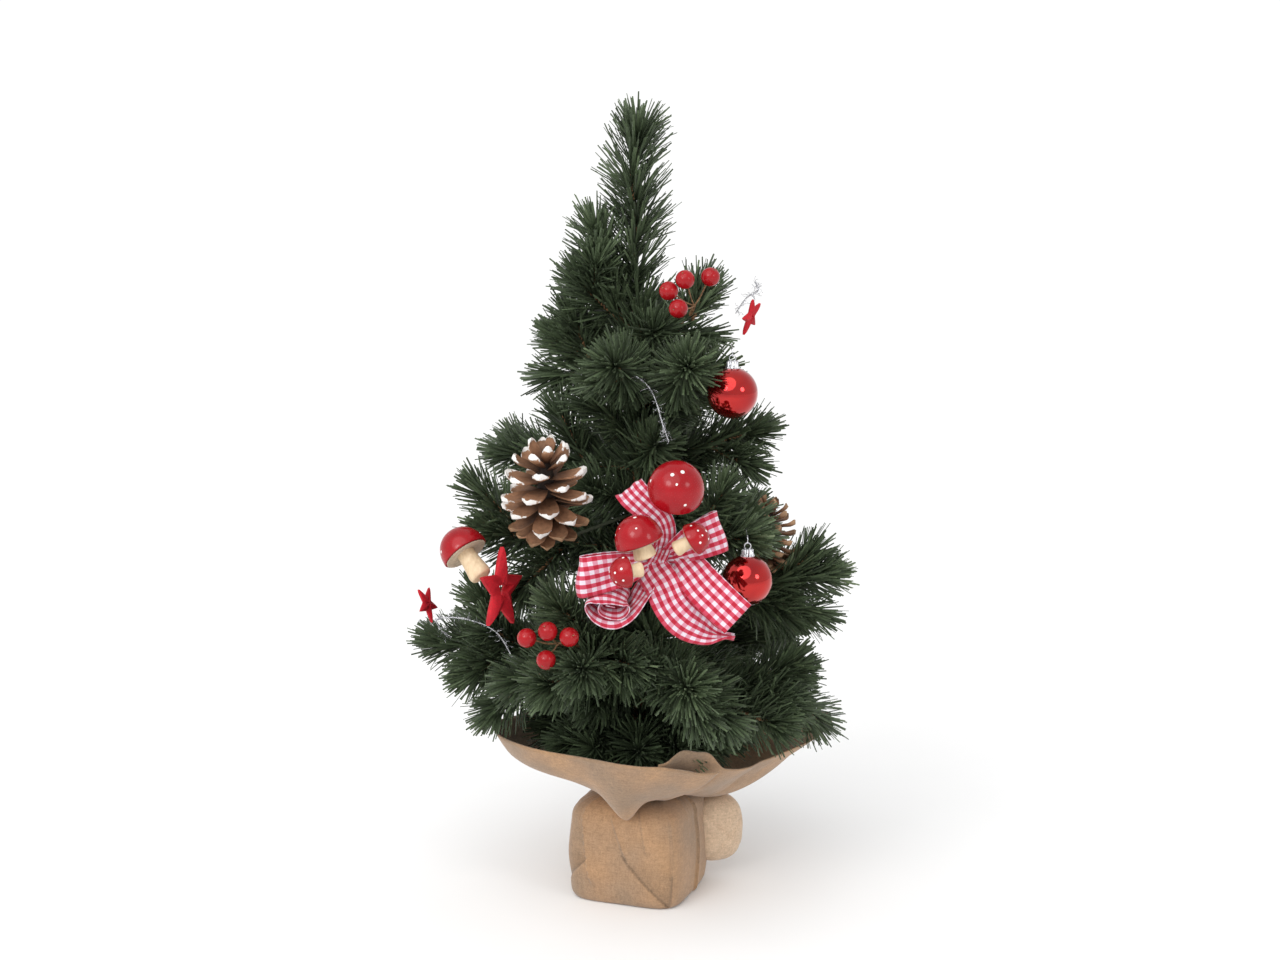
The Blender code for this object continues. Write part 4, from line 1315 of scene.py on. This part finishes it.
def add_star(name, body, hole=0.0):
    """Five-pointed plate with rounded edges and a crease along each arm."""
    points = node_points(name)
    _, vectors = np.linalg.eigh(np.cov((points - points.mean(axis=0)).T))
    normal = vectors[:, 0] if vectors[1, 0] < 0 else -vectors[:, 0]
    centre = points.mean(axis=0)
    outer = np.linalg.norm(points - centre, axis=1).max()
    thick = np.ptp((points - centre) @ normal) / 2
    far = points[np.argmax(np.linalg.norm(points - centre, axis=1))] - centre
    up = unit(far - normal * (far @ normal))
    side = np.cross(up, normal)
    steps, rings = 60, 7
    face, back = [], []
    for ring in range(rings):
        part = ring / (rings - 1)
        for step in range(steps):
            angle = 2 * math.pi * step / steps
            arm = abs((angle / (2 * math.pi / 5) + 0.5) % 1.0 - 0.5) * 2
            edge = star_reach(arm) * outer
            start = hole * star_reach(arm) * outer
            reach = start + (edge - start) * part
            ridge = (1.0 - arm) * 0.55 * thick * (1 - part) + 0.25 * thick * (1.0 - arm) ** 2
            inner = 0.35 if hole and ring == 0 else 1.0
            height = (thick * (1.0 - 0.75 * part**6) + ridge) * inner
            flat = (side * math.sin(angle) + up * math.cos(angle)) * reach
            face.append(centre + flat + normal * height)
            back.append(centre + flat - normal * height)
    count = rings * steps
    faces = grid_faces(rings, steps, closed=True) + grid_faces(rings, steps, closed=True, start=count)
    rim = count - steps
    for step in range(steps):
        a, b = step, (step + 1) % steps
        faces.append((rim + a, rim + b, rim + count + b, rim + count + a))
        if hole:
            faces.append((a, count + a, count + b, b))
    if not hole:
        faces.append(tuple(range(steps)))
        faces.append(tuple(range(count, count + steps)))
    add_solid(name + "_plate", (face + back, faces), body, "star", name, 32.0)


def star_reach(arm):
    """Reach of a star's outline where arm is 0 on an arm's middle and 1 between two arms."""
    tenth = math.pi / 5
    across = math.sin(tenth * arm) + STAR_WAIST * math.sin(tenth * (1 - arm))
    return min(STAR_WAIST * math.sin(tenth) / across, STAR_BLUNT)


# Garlands


def add_garland(name, path, body, replaced, seed, fuzz):
    """Thin silver wire wound with short tinsel fibres."""
    rng = np.random.default_rng(seed)
    line = eased(path, 90)
    parts = [twisted(line, GARLAND_STRAND, GARLAND_PITCH)]
    for _ in range(fuzz):
        at = line[rng.integers(4, len(line) - 4)]
        away = unit(rng.normal(size=3))
        bend = unit(rng.normal(size=3)) * 0.0012
        reach = rng.uniform(*TINSEL_LENGTH)
        hair = eased([at, at + away * reach * 0.5 + bend, at + away * reach], 6)
        parts.append(tube(hair, TINSEL_RADIUS, 3))
    add_piece(name, array_mesh(name, *gathered(parts)), body, "silver", replaced)


def wire_path(name):
    """Middle line of a thin CAD wire, from one end to the other."""
    points = node_points(name)
    start = points[np.argmax(np.linalg.norm(points - points.mean(axis=0), axis=1))]
    order = [start]
    left = points
    while len(left):
        left = left[np.linalg.norm(left - order[-1], axis=1) > 0.0035]
        if not len(left):
            break
        order.append(left[np.argmin(np.linalg.norm(left - order[-1], axis=1))])
    return np.array(order)


# Ribbon bow


def ribbon_mesh(name, rows, steps=60, columns=17, pleats=0.0, seed=1):
    """Ribbon through rows of (middle, across, width), with pleats where it is pinched narrow."""
    middles = eased([row[0] for row in rows], steps)
    across = eased([row[1] for row in rows], steps)
    widths = eased([[row[2], 0.0] for row in rows], steps)[:, 0]
    tangent = unit(np.gradient(middles, axis=0))
    across = unit(across - tangent * np.sum(across * tangent, axis=1, keepdims=True))
    normal = np.cross(tangent, across)
    length = run_along(middles)
    rng = np.random.default_rng(seed)
    phase = rng.uniform(0.0, 6.28, 3)
    full = RIBBON_WIDTH
    points, weave = [], []
    for row in range(steps):
        pinch = max(0.0, 1.0 - widths[row] / full)
        for column in range(columns):
            v = column / (columns - 1) * 2 - 1
            fold = pleats * pinch * math.sin(v * 9.0 + phase[0])
            fold += 0.0007 * math.sin(v * 2.6 + length[row] * 160 + phase[1])
            cup = 0.0010 * v * v * math.sin(length[row] * 90 + phase[2])
            out = across[row] * widths[row] / 2 * v
            points.append(middles[row] + out + normal[row] * (fold + cup))
            weave.append((length[row] / CHECK_ALONG, (v * full / 2) / CHECK_ACROSS + 0.5))
    mesh = bpy.data.meshes.new(name)
    mesh.from_pydata([tuple(point) for point in points], [], grid_faces(steps, columns))
    layer = mesh.uv_layers.new(name="Weave")
    for loop in mesh.loops:
        layer.data[loop.index].uv = weave[loop.vertex_index]
    mesh.shade_smooth()
    return mesh


def add_ribbon(name, rows, body, node, **settings):
    thicken(add_piece(name, ribbon_mesh(name, rows, **settings), body, "gingham", [node]), RIBBON_THICK)


def knot_centre():
    """Middle of the bow's knot: just past the end of the wire that carries it."""
    wire = node_points("bow_pick_wire")
    root = np.array(JOINTS["bow_pick"]["pos_m"])
    reach = np.linalg.norm(wire - root, axis=1)
    end = wire[reach > reach.max() - 0.0012].mean(axis=0)
    return end + unit(end - root) * KNOT_RADIUS


def add_bow():
    """Four loops, two tails and the wrapped knot of the gingham bow."""
    knot = knot_centre()
    body, loops, tails = "bow_pick", "bow_ribbon_loops", "bow_ribbon_tails"

    def rows(values):
        return [
            (knot + np.array(place) * MM, np.array(side, float), width * MM)
            for place, side, width in values
        ]

    top = (
        ((1.0, -5.0, 1.0), (0.98, 0.0, 0.20), 10),
        ((3.8, -9.0, 11.5), (0.95, 0.0, 0.30), 11),
        ((1.6, -10.0, 20.0), (0.92, 0.05, 0.38), 13),
        ((-5.0, -9.0, 26.5), (0.88, 0.0, 0.47), 15),
        ((-11.6, -7.0, 32.4), (0.87, 0.0, 0.50), 16),
        ((-14.4, -3.0, 35.3), (0.86, 0.0, 0.51), 16),
        ((-13.6, 1.0, 34.0), (0.86, 0.0, 0.51), 16),
        ((-5.0, 2.0, 23.0), (0.88, 0.0, 0.46), 14),
        ((2.0, -1.0, 6.0), (0.95, 0.0, 0.30), 10),
    )
    right = (
        ((2, -6, 0.5), (-0.1, 0.1, 1.0), 6),
        ((9, -9, 4), (-0.3, 0.05, 0.95), 12),
        ((19, -11.5, 9.5), (-0.35, 0.02, 0.93), 19),
        ((29, -11, 13.5), (-0.30, 0.02, 0.95), 21),
        ((33, -7, 14.5), (-0.25, 0.02, 0.96), 21),
        ((30, -2, 13), (-0.25, 0.02, 0.96), 21),
        ((18, -0.5, 8), (-0.3, 0.05, 0.95), 16),
        ((5, -1.5, 1), (-0.1, 0.1, 1.0), 6),
    )
    left = (
        ((-3, -6, -1), (0.0, 0.1, 1.0), 6),
        ((-10, -12, -2.5), (0.05, 0.1, 0.99), 13),
        ((-24, -19, -4.5), (0.05, 0.1, 0.99), 19),
        ((-36.5, -23, -6.5), (0.04, 0.05, 1.0), 20.5),
        ((-40.5, -19, -6.8), (0.04, 0.05, 1.0), 20.5),
        ((-36, -14.5, -6.2), (0.04, 0.05, 1.0), 20),
        ((-20, -8, -3.5), (0.04, 0.05, 1.0), 15),
        ((-4, -2, -1), (0.0, 0.1, 1.0), 6),
    )
    coil = (
        ((-1.0, -8.0, -5.0), (0.30, -0.85, -0.40), 9),
        ((-8.0, -13.0, -16.0), (0.20, -0.92, -0.38), 17),
        ((-14.5, -16.0, -24.0), (0.08, -0.93, -0.36), 19.5),
        ((-22.0, -17.0, -27.5), (0.0, -0.93, -0.36), 20),
        ((-30.0, -17.0, -25.0), (-0.06, -0.93, -0.36), 20),
        ((-34.8, -17.0, -19.0), (-0.10, -0.93, -0.36), 20),
        ((-31.0, -17.0, -15.0), (0.0, -0.93, -0.36), 19.5),
        ((-22.8, -16.5, -15.0), (0.0, -0.93, -0.36), 19),
        ((-15.0, -16.0, -19.0), (0.0, -0.93, -0.36), 18.5),
        ((-19.0, -15.5, -24.0), (0.0, -0.93, -0.36), 18),
        ((-27.0, -15.5, -22.5), (0.0, -0.93, -0.36), 17.5),
        ((-27.0, -15.0, -18.5), (0.0, -0.93, -0.36), 17),
        ((-21.0, -15.0, -19.5), (0.0, -0.93, -0.36), 16),
    )
    tail_right = (
        ((2.0, -7.0, 3.0), (0.97, 0.0, 0.20), 11),
        ((10.0, -8.5, 1.8), (0.93, 0.0, 0.34), 14),
        ((16.2, -13.2, -3.8), (0.90, 0.08, 0.40), 17.8),
        ((22.8, -17.2, -11.6), (0.86, 0.06, 0.46), 19.8),
        ((31.6, -20.8, -20.0), (0.86, 0.03, 0.50), 20.0),
        ((40.3, -23.3, -27.8), (0.88, -0.03, 0.47), 19.8),
    )
    tail_left = (
        ((-4.0, -7.0, 2.0), (0.85, 0.05, 0.50), 14),
        ((-2.8, -9.8, -4.8), (0.75, 0.08, 0.65), 18),
        ((2.2, -17.2, -11.4), (0.78, 0.15, 0.60), 18.6),
        ((7.2, -20.0, -21.0), (0.80, 0.29, 0.52), 19.6),
        ((13.4, -18.5, -28.8), (0.82, 0.35, 0.45), 19.6),
        ((20.8, -15.0, -34.4), (0.83, 0.39, 0.38), 17.2),
        ((28.1, -12.0, -38.3), (0.82, 0.46, 0.30), 11),
        ((39.1, -11.0, -40.3), (0.55, 0.80, 0.20), 3),
    )
    add_ribbon("bow_loop_top", rows(top), body, loops, pleats=0.0012, seed=3)
    add_ribbon("bow_loop_right", rows(right), body, loops, pleats=0.0012, seed=4)
    add_ribbon("bow_loop_left", rows(left), body, loops, pleats=0.0012, seed=5)
    add_ribbon("bow_coil", rows(coil), body, loops, steps=110, pleats=0.0006, seed=6)
    add_ribbon("bow_tail_right", rows(tail_right), body, tails, pleats=0.0014, seed=7)
    add_ribbon("bow_tail_left", rows(tail_left), body, tails, pleats=0.0014, seed=8)
    turns = np.linspace(0.0, 2.06 * math.pi, 26)
    band = []
    for turn in turns:
        out = np.array([math.sin(turn) * 0.45, -math.cos(turn), math.sin(turn) * 0.9]) * KNOT_RADIUS
        place = knot + out + np.array([0.0, -0.004, 0.0])
        band.append((place, np.array([0.9, 0.0, -0.43]), 0.0085))
    add_ribbon("bow_knot", band, body, loops, pleats=0.0008, seed=9)


# Cloth round the base


def wrapped(bearing):
    """Same bearing between -180 and 180 degrees."""
    return (bearing + 180.0) % 360.0 - 180.0


def cloth_rim():
    """Bearings, radii and heights of the collar's edge, read from its CAD solid."""
    points = node_points("burlap_wrap")
    bearing = np.degrees(np.arctan2(points[:, 0], -points[:, 1]))
    reach = np.hypot(points[:, 0], points[:, 1])
    high = points[:, 2] > COLLAR_LEAST
    found = {}
    for angle, radius, height in zip(bearing[high], reach[high], points[high, 2]):
        key = round(angle / 3.0) * 3.0
        if key not in found or radius > found[key][0]:
            found[key] = (radius, height)
    keys = sorted(found)
    radii, heights = zip(*(found[key] for key in keys))
    return np.array(keys), np.array(radii), np.array(heights)


def fold_ridge(across, amount, wide, sharp=0.00035):
    """Overlapped fold: rises gently on one side of its line and drops sharply on the other."""
    rise = np.exp(np.minimum(across, 0.0) / wide)
    return amount * np.where(across < 0, rise, np.exp(-np.maximum(across, 0.0) / sharp))


def segment_measure(b, z, fold):
    """Signed distance from a fold's line on the wall, and how far the point is past its ends."""
    b0, z0, b1, z1 = fold[:4]
    scale = math.radians(1.0) * WALL_REACH
    px, pz = (b - b0) * scale, z - z0 * MM
    lx, lz = (b1 - b0) * scale, (z1 - z0) * MM
    length = math.hypot(lx, lz)
    ux, uz = lx / length, lz / length
    along = px * ux + pz * uz
    across = px * uz - pz * ux
    beyond = np.maximum(np.maximum(-along, along - length), 0.0)
    return across, beyond


def wall_section(bearing, half):
    """Radius of the rounded square block at each bearing."""
    angle = np.radians(bearing) - math.pi / 2 - BLOCK_TURN
    power = BLOCK_POWER
    spread = np.abs(np.cos(angle)) ** power + np.abs(np.sin(angle)) ** power
    return half / spread ** (1 / power)


def base_half_side():
    """Half the width of the wrapped block, from the vertices of its CAD wall."""
    points = node_points("burlap_wrap")
    wall = (points[:, 2] > 0.003) & (points[:, 2] < 0.034)
    bearing = np.degrees(np.arctan2(points[wall, 0], -points[wall, 1]))
    ratio = np.hypot(points[wall, 0], points[wall, 1]) / wall_section(bearing, 1.0)
    plain = (bearing > -160.0) & (bearing < 60.0)
    return float(np.percentile(ratio[plain], 75))


def add_wrap_wall():
    """Cloth drawn up round the block, pleated at the neck and creased on its faces, with painted shade
    along the creases.
    """
    rng = np.random.default_rng(21)
    half = base_half_side()
    columns, rows = 400, 110
    bearing = np.linspace(-180.0, 180.0, columns, endpoint=False)
    share = np.linspace(0.0, 1.0, rows)
    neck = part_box("neck_tie")[0].z
    b = np.tile(bearing, (rows, 1))
    wall = wall_section(b, half) + WALL_SWELL * np.exp(-(((b + 72.0) / 32.0) ** 2))
    s = np.tile(share[:, None], (1, columns))
    radius = np.zeros_like(s)
    height = np.zeros_like(s)
    top_start = UNDER_SHARE + SIDE_SHARE
    under, top = s < UNDER_SHARE, s >= top_start
    side = ~under & ~top
    radius[under] = (wall * np.clip(s / UNDER_SHARE, 0.02, 1.0) * 0.95)[under]
    height[under] = 0.0
    part = (s - UNDER_SHARE) / SIDE_SHARE
    round_foot = np.clip(1.0 - part / 0.10, 0.0, 1.0)
    bulged = wall * (1.0 + BLOCK_BULGE * np.sin(np.pi * np.clip(part, 0, 1)))
    radius[side] = (bulged - 0.05 * wall * round_foot**2)[side]
    height[side] = (SHOULDER * part)[side]
    turn = np.clip((s - top_start) / TOP_SHARE, 0.0, 1.0) * math.pi / 2
    radius[top] = (NECK_INNER + (wall - NECK_INNER) * np.cos(turn) ** 0.75)[top]
    height[top] = (SHOULDER + (neck + 0.002 - SHOULDER) * np.sin(turn) ** 0.9)[top]
    lift = np.zeros_like(s)
    layers = np.zeros_like(s)
    for fold in WALL_FOLDS:
        for shift in (-360.0, 0.0, 360.0):
            across, beyond = segment_measure(b + shift, height, fold)
            within = np.exp(-((beyond / 0.004) ** 2)) * (s > 0.17)
            lift += fold_ridge(across, fold[4] * MM, fold[5] * MM) * within
            # Doubled cloth beside each fold, tinted for a rising fold and painted shade for a dropping
            # one, plus a painted shadow line along the crease
            doubled = np.where(across < 0, np.exp(across / (fold[5] * 2.2 * MM)), 0.0)
            shadow = 0.6 * np.exp(-((across / 0.0006) ** 2))
            layers += (doubled * math.copysign(0.55, fold[4]) - shadow) * within
    rise = np.clip((s - 0.40) / 0.60, 0.0, 1.0)
    for _ in range(PLEATS):
        at = rng.uniform(-180.0, 180.0)
        lean = rng.uniform(-14.0, 14.0)
        amount = rng.uniform(0.5, 1.3) * MM
        away = wrapped(b - at - lean * (1.0 - rise))
        across = np.radians(away) * np.maximum(radius, 0.012)
        ridge = fold_ridge(across, amount, rng.uniform(0.0010, 0.0022))
        lift += ridge * rise ** rng.uniform(1.6, 3.2)
    for _ in range(DENTS):
        angle, level = rng.uniform(-180.0, 180.0), rng.uniform(0.004, 0.046)
        near = wrapped(b - angle) * math.radians(1.0) * WALL_REACH
        swell = np.exp(-((near / 0.009) ** 2) - ((height - level) / 0.008) ** 2)
        lift += rng.uniform(-0.5, 0.5) * MM * swell * (s > 0.17)
    lift = np.where(s > UNDER_SHARE, lift, 0.0)
    radius = radius + lift * np.where(top, np.cos(turn), 1.0)
    height = np.maximum(height + lift * np.where(top, np.sin(turn), 0.0) * 0.8, 0.0)
    radians = np.radians(b)
    grid = np.stack([radius * np.sin(radians), -radius * np.cos(radians), height], axis=2)
    points = list(grid.reshape(-1, 3)) + [np.zeros(3), np.array([0.0, 0.0, neck + 0.002])]
    faces = grid_faces(rows, columns, closed=True)
    last = (rows - 1) * columns
    for column in range(columns):
        after = (column + 1) % columns
        faces.append((len(points) - 2, after, column))
        faces.append((len(points) - 1, last + column, last + after))
    layers = np.concatenate([layers.ravel(), np.zeros(2)])
    add_solid("wrap_wall", (points, faces), "trunk", "cloth", "burlap_wrap", 75.0, layers=layers)


def add_wrap_ear():
    """Folded-out corner of the cloth, puffed like a small bag behind the right-hand side, painted paler
    as if more directly lit.
    """
    columns, rows = 90, 60
    bearing = math.radians(EAR_BEARING)
    out = outward(bearing)
    side = np.array([math.cos(bearing), math.sin(bearing), 0.0])
    centre = out * EAR_MIDDLE + np.array([0.0, 0.0, EAR_LEVEL])
    points = [centre - out * EAR_HALF[0]]
    for row in range(1, rows):
        polar = math.pi * row / rows
        for column in range(columns):
            turn = 2 * math.pi * column / columns
            x = -math.cos(polar)
            y = math.sin(polar) * math.cos(turn)
            z = math.sin(polar) * math.sin(turn)
            grow = (abs(x) ** 2.6 + abs(y) ** 2.6 + abs(z) ** 2.6) ** (-1 / 2.6)
            crease = 0.15 * math.exp(-abs(z * 0.8 + x * 0.6 - 0.05) / 0.06)
            crease += 0.10 * math.exp(-abs(z - x * 0.9 + 0.35) / 0.06)
            pull = 1.0 - crease + 0.03 * math.sin(6 * turn + 3 * x)
            reach = np.array([x, y * pull, z]) * grow * EAR_HALF
            up = np.array([0.0, 0.0, reach[2]])
            points.append(centre + out * reach[0] + side * reach[1] + up)
    points.append(centre + out * EAR_HALF[0])
    shape = points, ball_faces(rows - 1, columns)
    add_solid("wrap_ear", shape, "trunk", "cloth", "burlap_wrap", 75.0, pale=np.ones(len(points)))


def collar_fraction(bearing, out):
    """Share of the collar's rise reached a share of the way out, which differs round the tree."""
    at = np.array([key for key, _ in COLLAR_PROFILES])
    curves = np.array([curve for _, curve in COLLAR_PROFILES])
    around = wrapped(bearing)
    index = int(np.clip(np.searchsorted(at, around) - 1, 0, len(at) - 2))
    part = (around - at[index]) / (at[index + 1] - at[index])
    part = (1.0 - math.cos(math.pi * part)) / 2.0
    curve = curves[index] * (1.0 - part) + curves[index + 1] * part
    return smooth_curve(COLLAR_STEPS, curve, out)


def smooth_curve(knots, values, at):
    """Value of a smooth curve through knots, which never overshoots them."""
    knots = np.asarray(knots)
    index = int(np.clip(np.searchsorted(knots, at) - 1, 0, len(knots) - 2))
    rise = np.diff(values) / np.diff(knots)
    slope = np.concatenate([[rise[0]], (rise[:-1] + rise[1:]) / 2.0, [rise[-1]]])
    wide = knots[index + 1] - knots[index]
    u = (at - knots[index]) / wide
    a, b = values[index], values[index + 1]
    bend_a, bend_b = slope[index] * wide, slope[index + 1] * wide
    blend = (2 * u**3 - 3 * u**2 + 1) * a + (u**3 - 2 * u**2 + u) * bend_a
    return blend + (3 * u**2 - 2 * u**3) * b + (u**3 - u**2) * bend_b


def collar_sheet(name, start, end, start_slant, end_slant, inward, seed, bump=0.0):
    """One flared flap of the collar, from the neck out to the rim between two bearings."""
    rng = np.random.default_rng(seed)
    keys, radii, heights = RIM
    columns, rows = int(abs(end - start) / 1.2), 44
    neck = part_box("neck_tie")[1].z
    phases = rng.uniform(0.0, 6.28, 6)
    points = []
    for row in range(rows):
        t = row / (rows - 1)
        for column in range(columns):
            share = column / (columns - 1)
            slant = start_slant * (1 - share) + end_slant * share
            b = start + (end - start) * share + slant * (1 - t)
            rim_radius = np.interp(b, keys, radii, period=360.0) - inward * (0.3 + 0.7 * t)
            rim_height = np.interp(b, keys, heights, period=360.0)
            around = wrapped(b)
            sag = DRAPE_SAG * math.exp(-(((around + 13) / 12) ** 2))
            sag *= math.sin(math.pi * t**0.95) ** 1.2
            radius = COLLAR_START + (rim_radius - COLLAR_START) * t
            height = neck + (rim_height - neck) * collar_fraction(b, t) - sag
            angle = math.radians(b)
            fold = 0.0008 * math.sin(7 * angle + phases[0])
            fold += 0.0005 * math.sin(13 * angle + phases[1] + 2 * t)
            fold += 0.0009 * math.sin(4 * angle + phases[2] + 4 * t)
            fold *= math.sin(math.pi * min(1.0, t + 0.08)) ** 0.6 + 0.12
            gather = 0.0011 * abs(math.sin(15 * angle + phases[3])) * math.exp(-t * 7.0)
            dome = bump * math.exp(-(((around - 26) / 12.5) ** 4)) * t**3
            height += fold * 0.8 + gather + dome
            radius += fold * 0.5
            points.append((radius * math.sin(angle), -radius * math.cos(angle), height))
    mesh = bpy.data.meshes.new(name)
    mesh.from_pydata(points, [], grid_faces(rows, columns))
    mesh.shade_smooth()
    thicken(add_piece(name, mesh, "trunk", "cloth", ["burlap_wrap"]), CLOTH_THICKNESS)


def add_neck_cord():
    low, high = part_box("neck_tie")
    radius = (high.x - low.x) / 2 - (high.z - low.z) / 2
    turns = np.linspace(0.0, 2 * math.pi, 120)
    level = np.full(120, (low.z + high.z) / 2)
    ring = np.stack([radius * np.cos(turns), radius * np.sin(turns), level], axis=1)
    mesh = array_mesh("neck_cord", *twisted(ring, 0.00055, 0.004, strands=3, sides=6))
    add_piece("neck_cord", mesh, "trunk", "cord", ["neck_tie"])


def add_base():
    add_wrap_wall()
    add_wrap_ear()
    collar_sheet("wrap_collar_left", -184.0, 37.0, 0.0, -24.0, 0.0, 31)
    collar_sheet("wrap_collar_right", 8.0, 186.0, -6.0, 0.0, 0.0035, 32, bump=0.011)
    add_neck_cord()
    frame["nodes"]["base_weight"].data.materials[0] = MATERIALS["cement"]


# Everything that hangs on the tree

# Run of the front garland, which has no wire of its own in the CAD
FRONT_GARLAND = (
    (-0.004, -0.060, 0.306), (0.006, -0.061, 0.297), (0.012, -0.062, 0.279), (0.015, -0.061, 0.270),
)

# Painted dots: degrees from the cap's axis, degrees round it, radius
LARGE_DOTS = (
    (38, 145, 0.00120), (16, -170, 0.00115), (6, 20, 0.00115), (36, -160, 0.00120),
    (26, -110, 0.00115), (40, -130, 0.00110), (44, -30, 0.00110), (46, 60, 0.00110),
    (66, -80, 0.00100), (70, 100, 0.00100), (68, 170, 0.00100),
)
MEDIUM_DOTS = (
    (18, 30, 0.00105), (40, 90, 0.00105), (40, -60, 0.00105), (50, 5, 0.00100), (56, -80, 0.00095),
    (42, 160, 0.00100), (46, -140, 0.00100),
)
RIGHT_DOTS = (
    (48, 150, 0.00075), (42, -180, 0.00070), (62, -160, 0.00075), (12, 160, 0.00080),
    (30, -125, 0.00080), (64, 115, 0.00070), (34, -20, 0.00075), (40, 60, 0.00075),
)
LEFT_DOTS = (
    (78, 80, 0.00070), (58, 30, 0.00075), (32, 20, 0.00080), (36, -45, 0.00080), (16, 150, 0.00075),
    (44, -100, 0.00075), (48, 150, 0.00075), (60, -20, 0.00070),
)
SIDE_DOTS = (
    (14, 0, 0.00110), (40, -60, 0.00110), (44, 30, 0.00105), (42, 120, 0.00105),
    (46, -150, 0.00110), (66, -20, 0.00100), (68, -105, 0.00100),
)


def add_ornaments():
    add_mushroom("bow_mushroom_large", "bow_pick", LARGE_DOTS)
    add_mushroom("bow_mushroom_medium", "bow_pick", MEDIUM_DOTS)
    add_mushroom("bow_mushroom_right", "bow_pick", RIGHT_DOTS)
    add_mushroom("bow_mushroom_left", "bow_pick", LEFT_DOTS)
    add_mushroom("mushroom_side", "branch_3_left", SIDE_DOTS)
    add_bow()
    add_pinecone("pinecone_front", "pinecone_front", 1.0, 41)
    add_pinecone("pinecone_rear", "branch_2_right", 0.0, 42)
    add_bauble("bauble_upper", "bauble_upper")
    add_bauble("bauble_lower", "bauble_lower")
    add_berries("berry_upper", "branch_6_right")
    add_berries("berry_lower", "branch_2_front_left")
    add_star("star_large", "branch_3_left", 0.28)
    add_star("star_small_left", "branch_2_left")
    add_star("star_small_right", "branch_6_right")
    left, right = "garland_wire_left", "garland_wire_right"
    add_garland("garland_left", wire_path(left), "branch_2_left", [left], 51, 110)
    add_garland("garland_right", wire_path(right), "branch_6_right", [right], 52, 60)
    add_garland("garland_front", np.array(FRONT_GARLAND), "branch_5_front", [], 53, 70)
    for node in ("bow_pick_wire", "pinecone_front_wire"):
        frame["nodes"][node].data.materials[0] = MATERIALS["pick"]


# Stage


def add_stage():
    floor_mesh = bpy.data.meshes.new("floor")
    signs = ((-1, -1), (1, -1), (1, 1), (-1, 1))
    corners = [(x * FLOOR_HALF, y * FLOOR_HALF, -FLOOR_DROP) for x, y in signs]
    floor_mesh.from_pydata(corners, [], [(0, 1, 2, 3)])
    floor = linked("floor", floor_mesh)
    s = Surface("floor")
    grain = s.noise(6.0, 2.0)
    s.finish(s.ramp(grain, ((0.3, (0.88, 0.88, 0.88)), (0.7, (0.90, 0.90, 0.90)))), 0.9)
    floor_mesh.materials.append(s.material)


def add_area_light(name, place, size, energy):
    light = bpy.data.lights.new(name, "AREA")
    light.shape = "DISK"
    light.size = size
    light.energy = energy
    obj = linked(name, light)
    obj.location = place
    obj.rotation_mode = "QUATERNION"
    obj.rotation_quaternion = (LAMP_TARGET - Vector(place)).to_track_quat("-Z", "Y")


def add_camera():
    camera = bpy.data.cameras.new("camera")
    camera.lens = CAMERA_LENS
    camera.sensor_width = CAMERA_SENSOR
    camera.clip_start = 0.05
    obj = linked("camera", camera)
    obj.location = CAMERA_PLACE
    obj.rotation_euler = (math.radians(90.0 - CAMERA_TILT), 0.0, 0.0)
    bpy.context.scene.camera = obj


def add_world():
    """White to the camera but dimmer as a light, so that the lamps shape the object."""
    world = bpy.data.worlds.new("studio")
    bpy.context.scene.world = world
    world.use_nodes = True
    tree = world.node_tree
    background = tree.nodes["Background"]
    background.inputs["Color"].default_value = (1.0, 1.0, 1.0, 1.0)
    seen = tree.nodes.new("ShaderNodeLightPath").outputs["Is Camera Ray"]
    strength = tree.nodes.new("ShaderNodeMapRange")
    strength.inputs["To Min"].default_value = AMBIENT
    strength.inputs["To Max"].default_value = BACKDROP
    tree.links.new(seen, strength.inputs["Value"])
    tree.links.new(strength.outputs["Result"], background.inputs["Strength"])


def add_sun():
    """Broad lamp far away, so that the floor is evenly lit up to the horizon."""
    light = bpy.data.lights.new("sun", "SUN")
    light.energy = SUN_ENERGY
    light.angle = math.radians(SUN_SPREAD)
    obj = linked("sun", light)
    obj.rotation_mode = "QUATERNION"
    obj.rotation_quaternion = Vector(SUN_FROM).to_track_quat("Z", "Y")


RIM = cloth_rim()
add_base()
add_ornaments()
add_stage()
add_world()
add_sun()
for lamp in LAMPS:
    add_area_light(*lamp)
add_camera()
bpy.context.scene.view_settings.view_transform = "Standard"
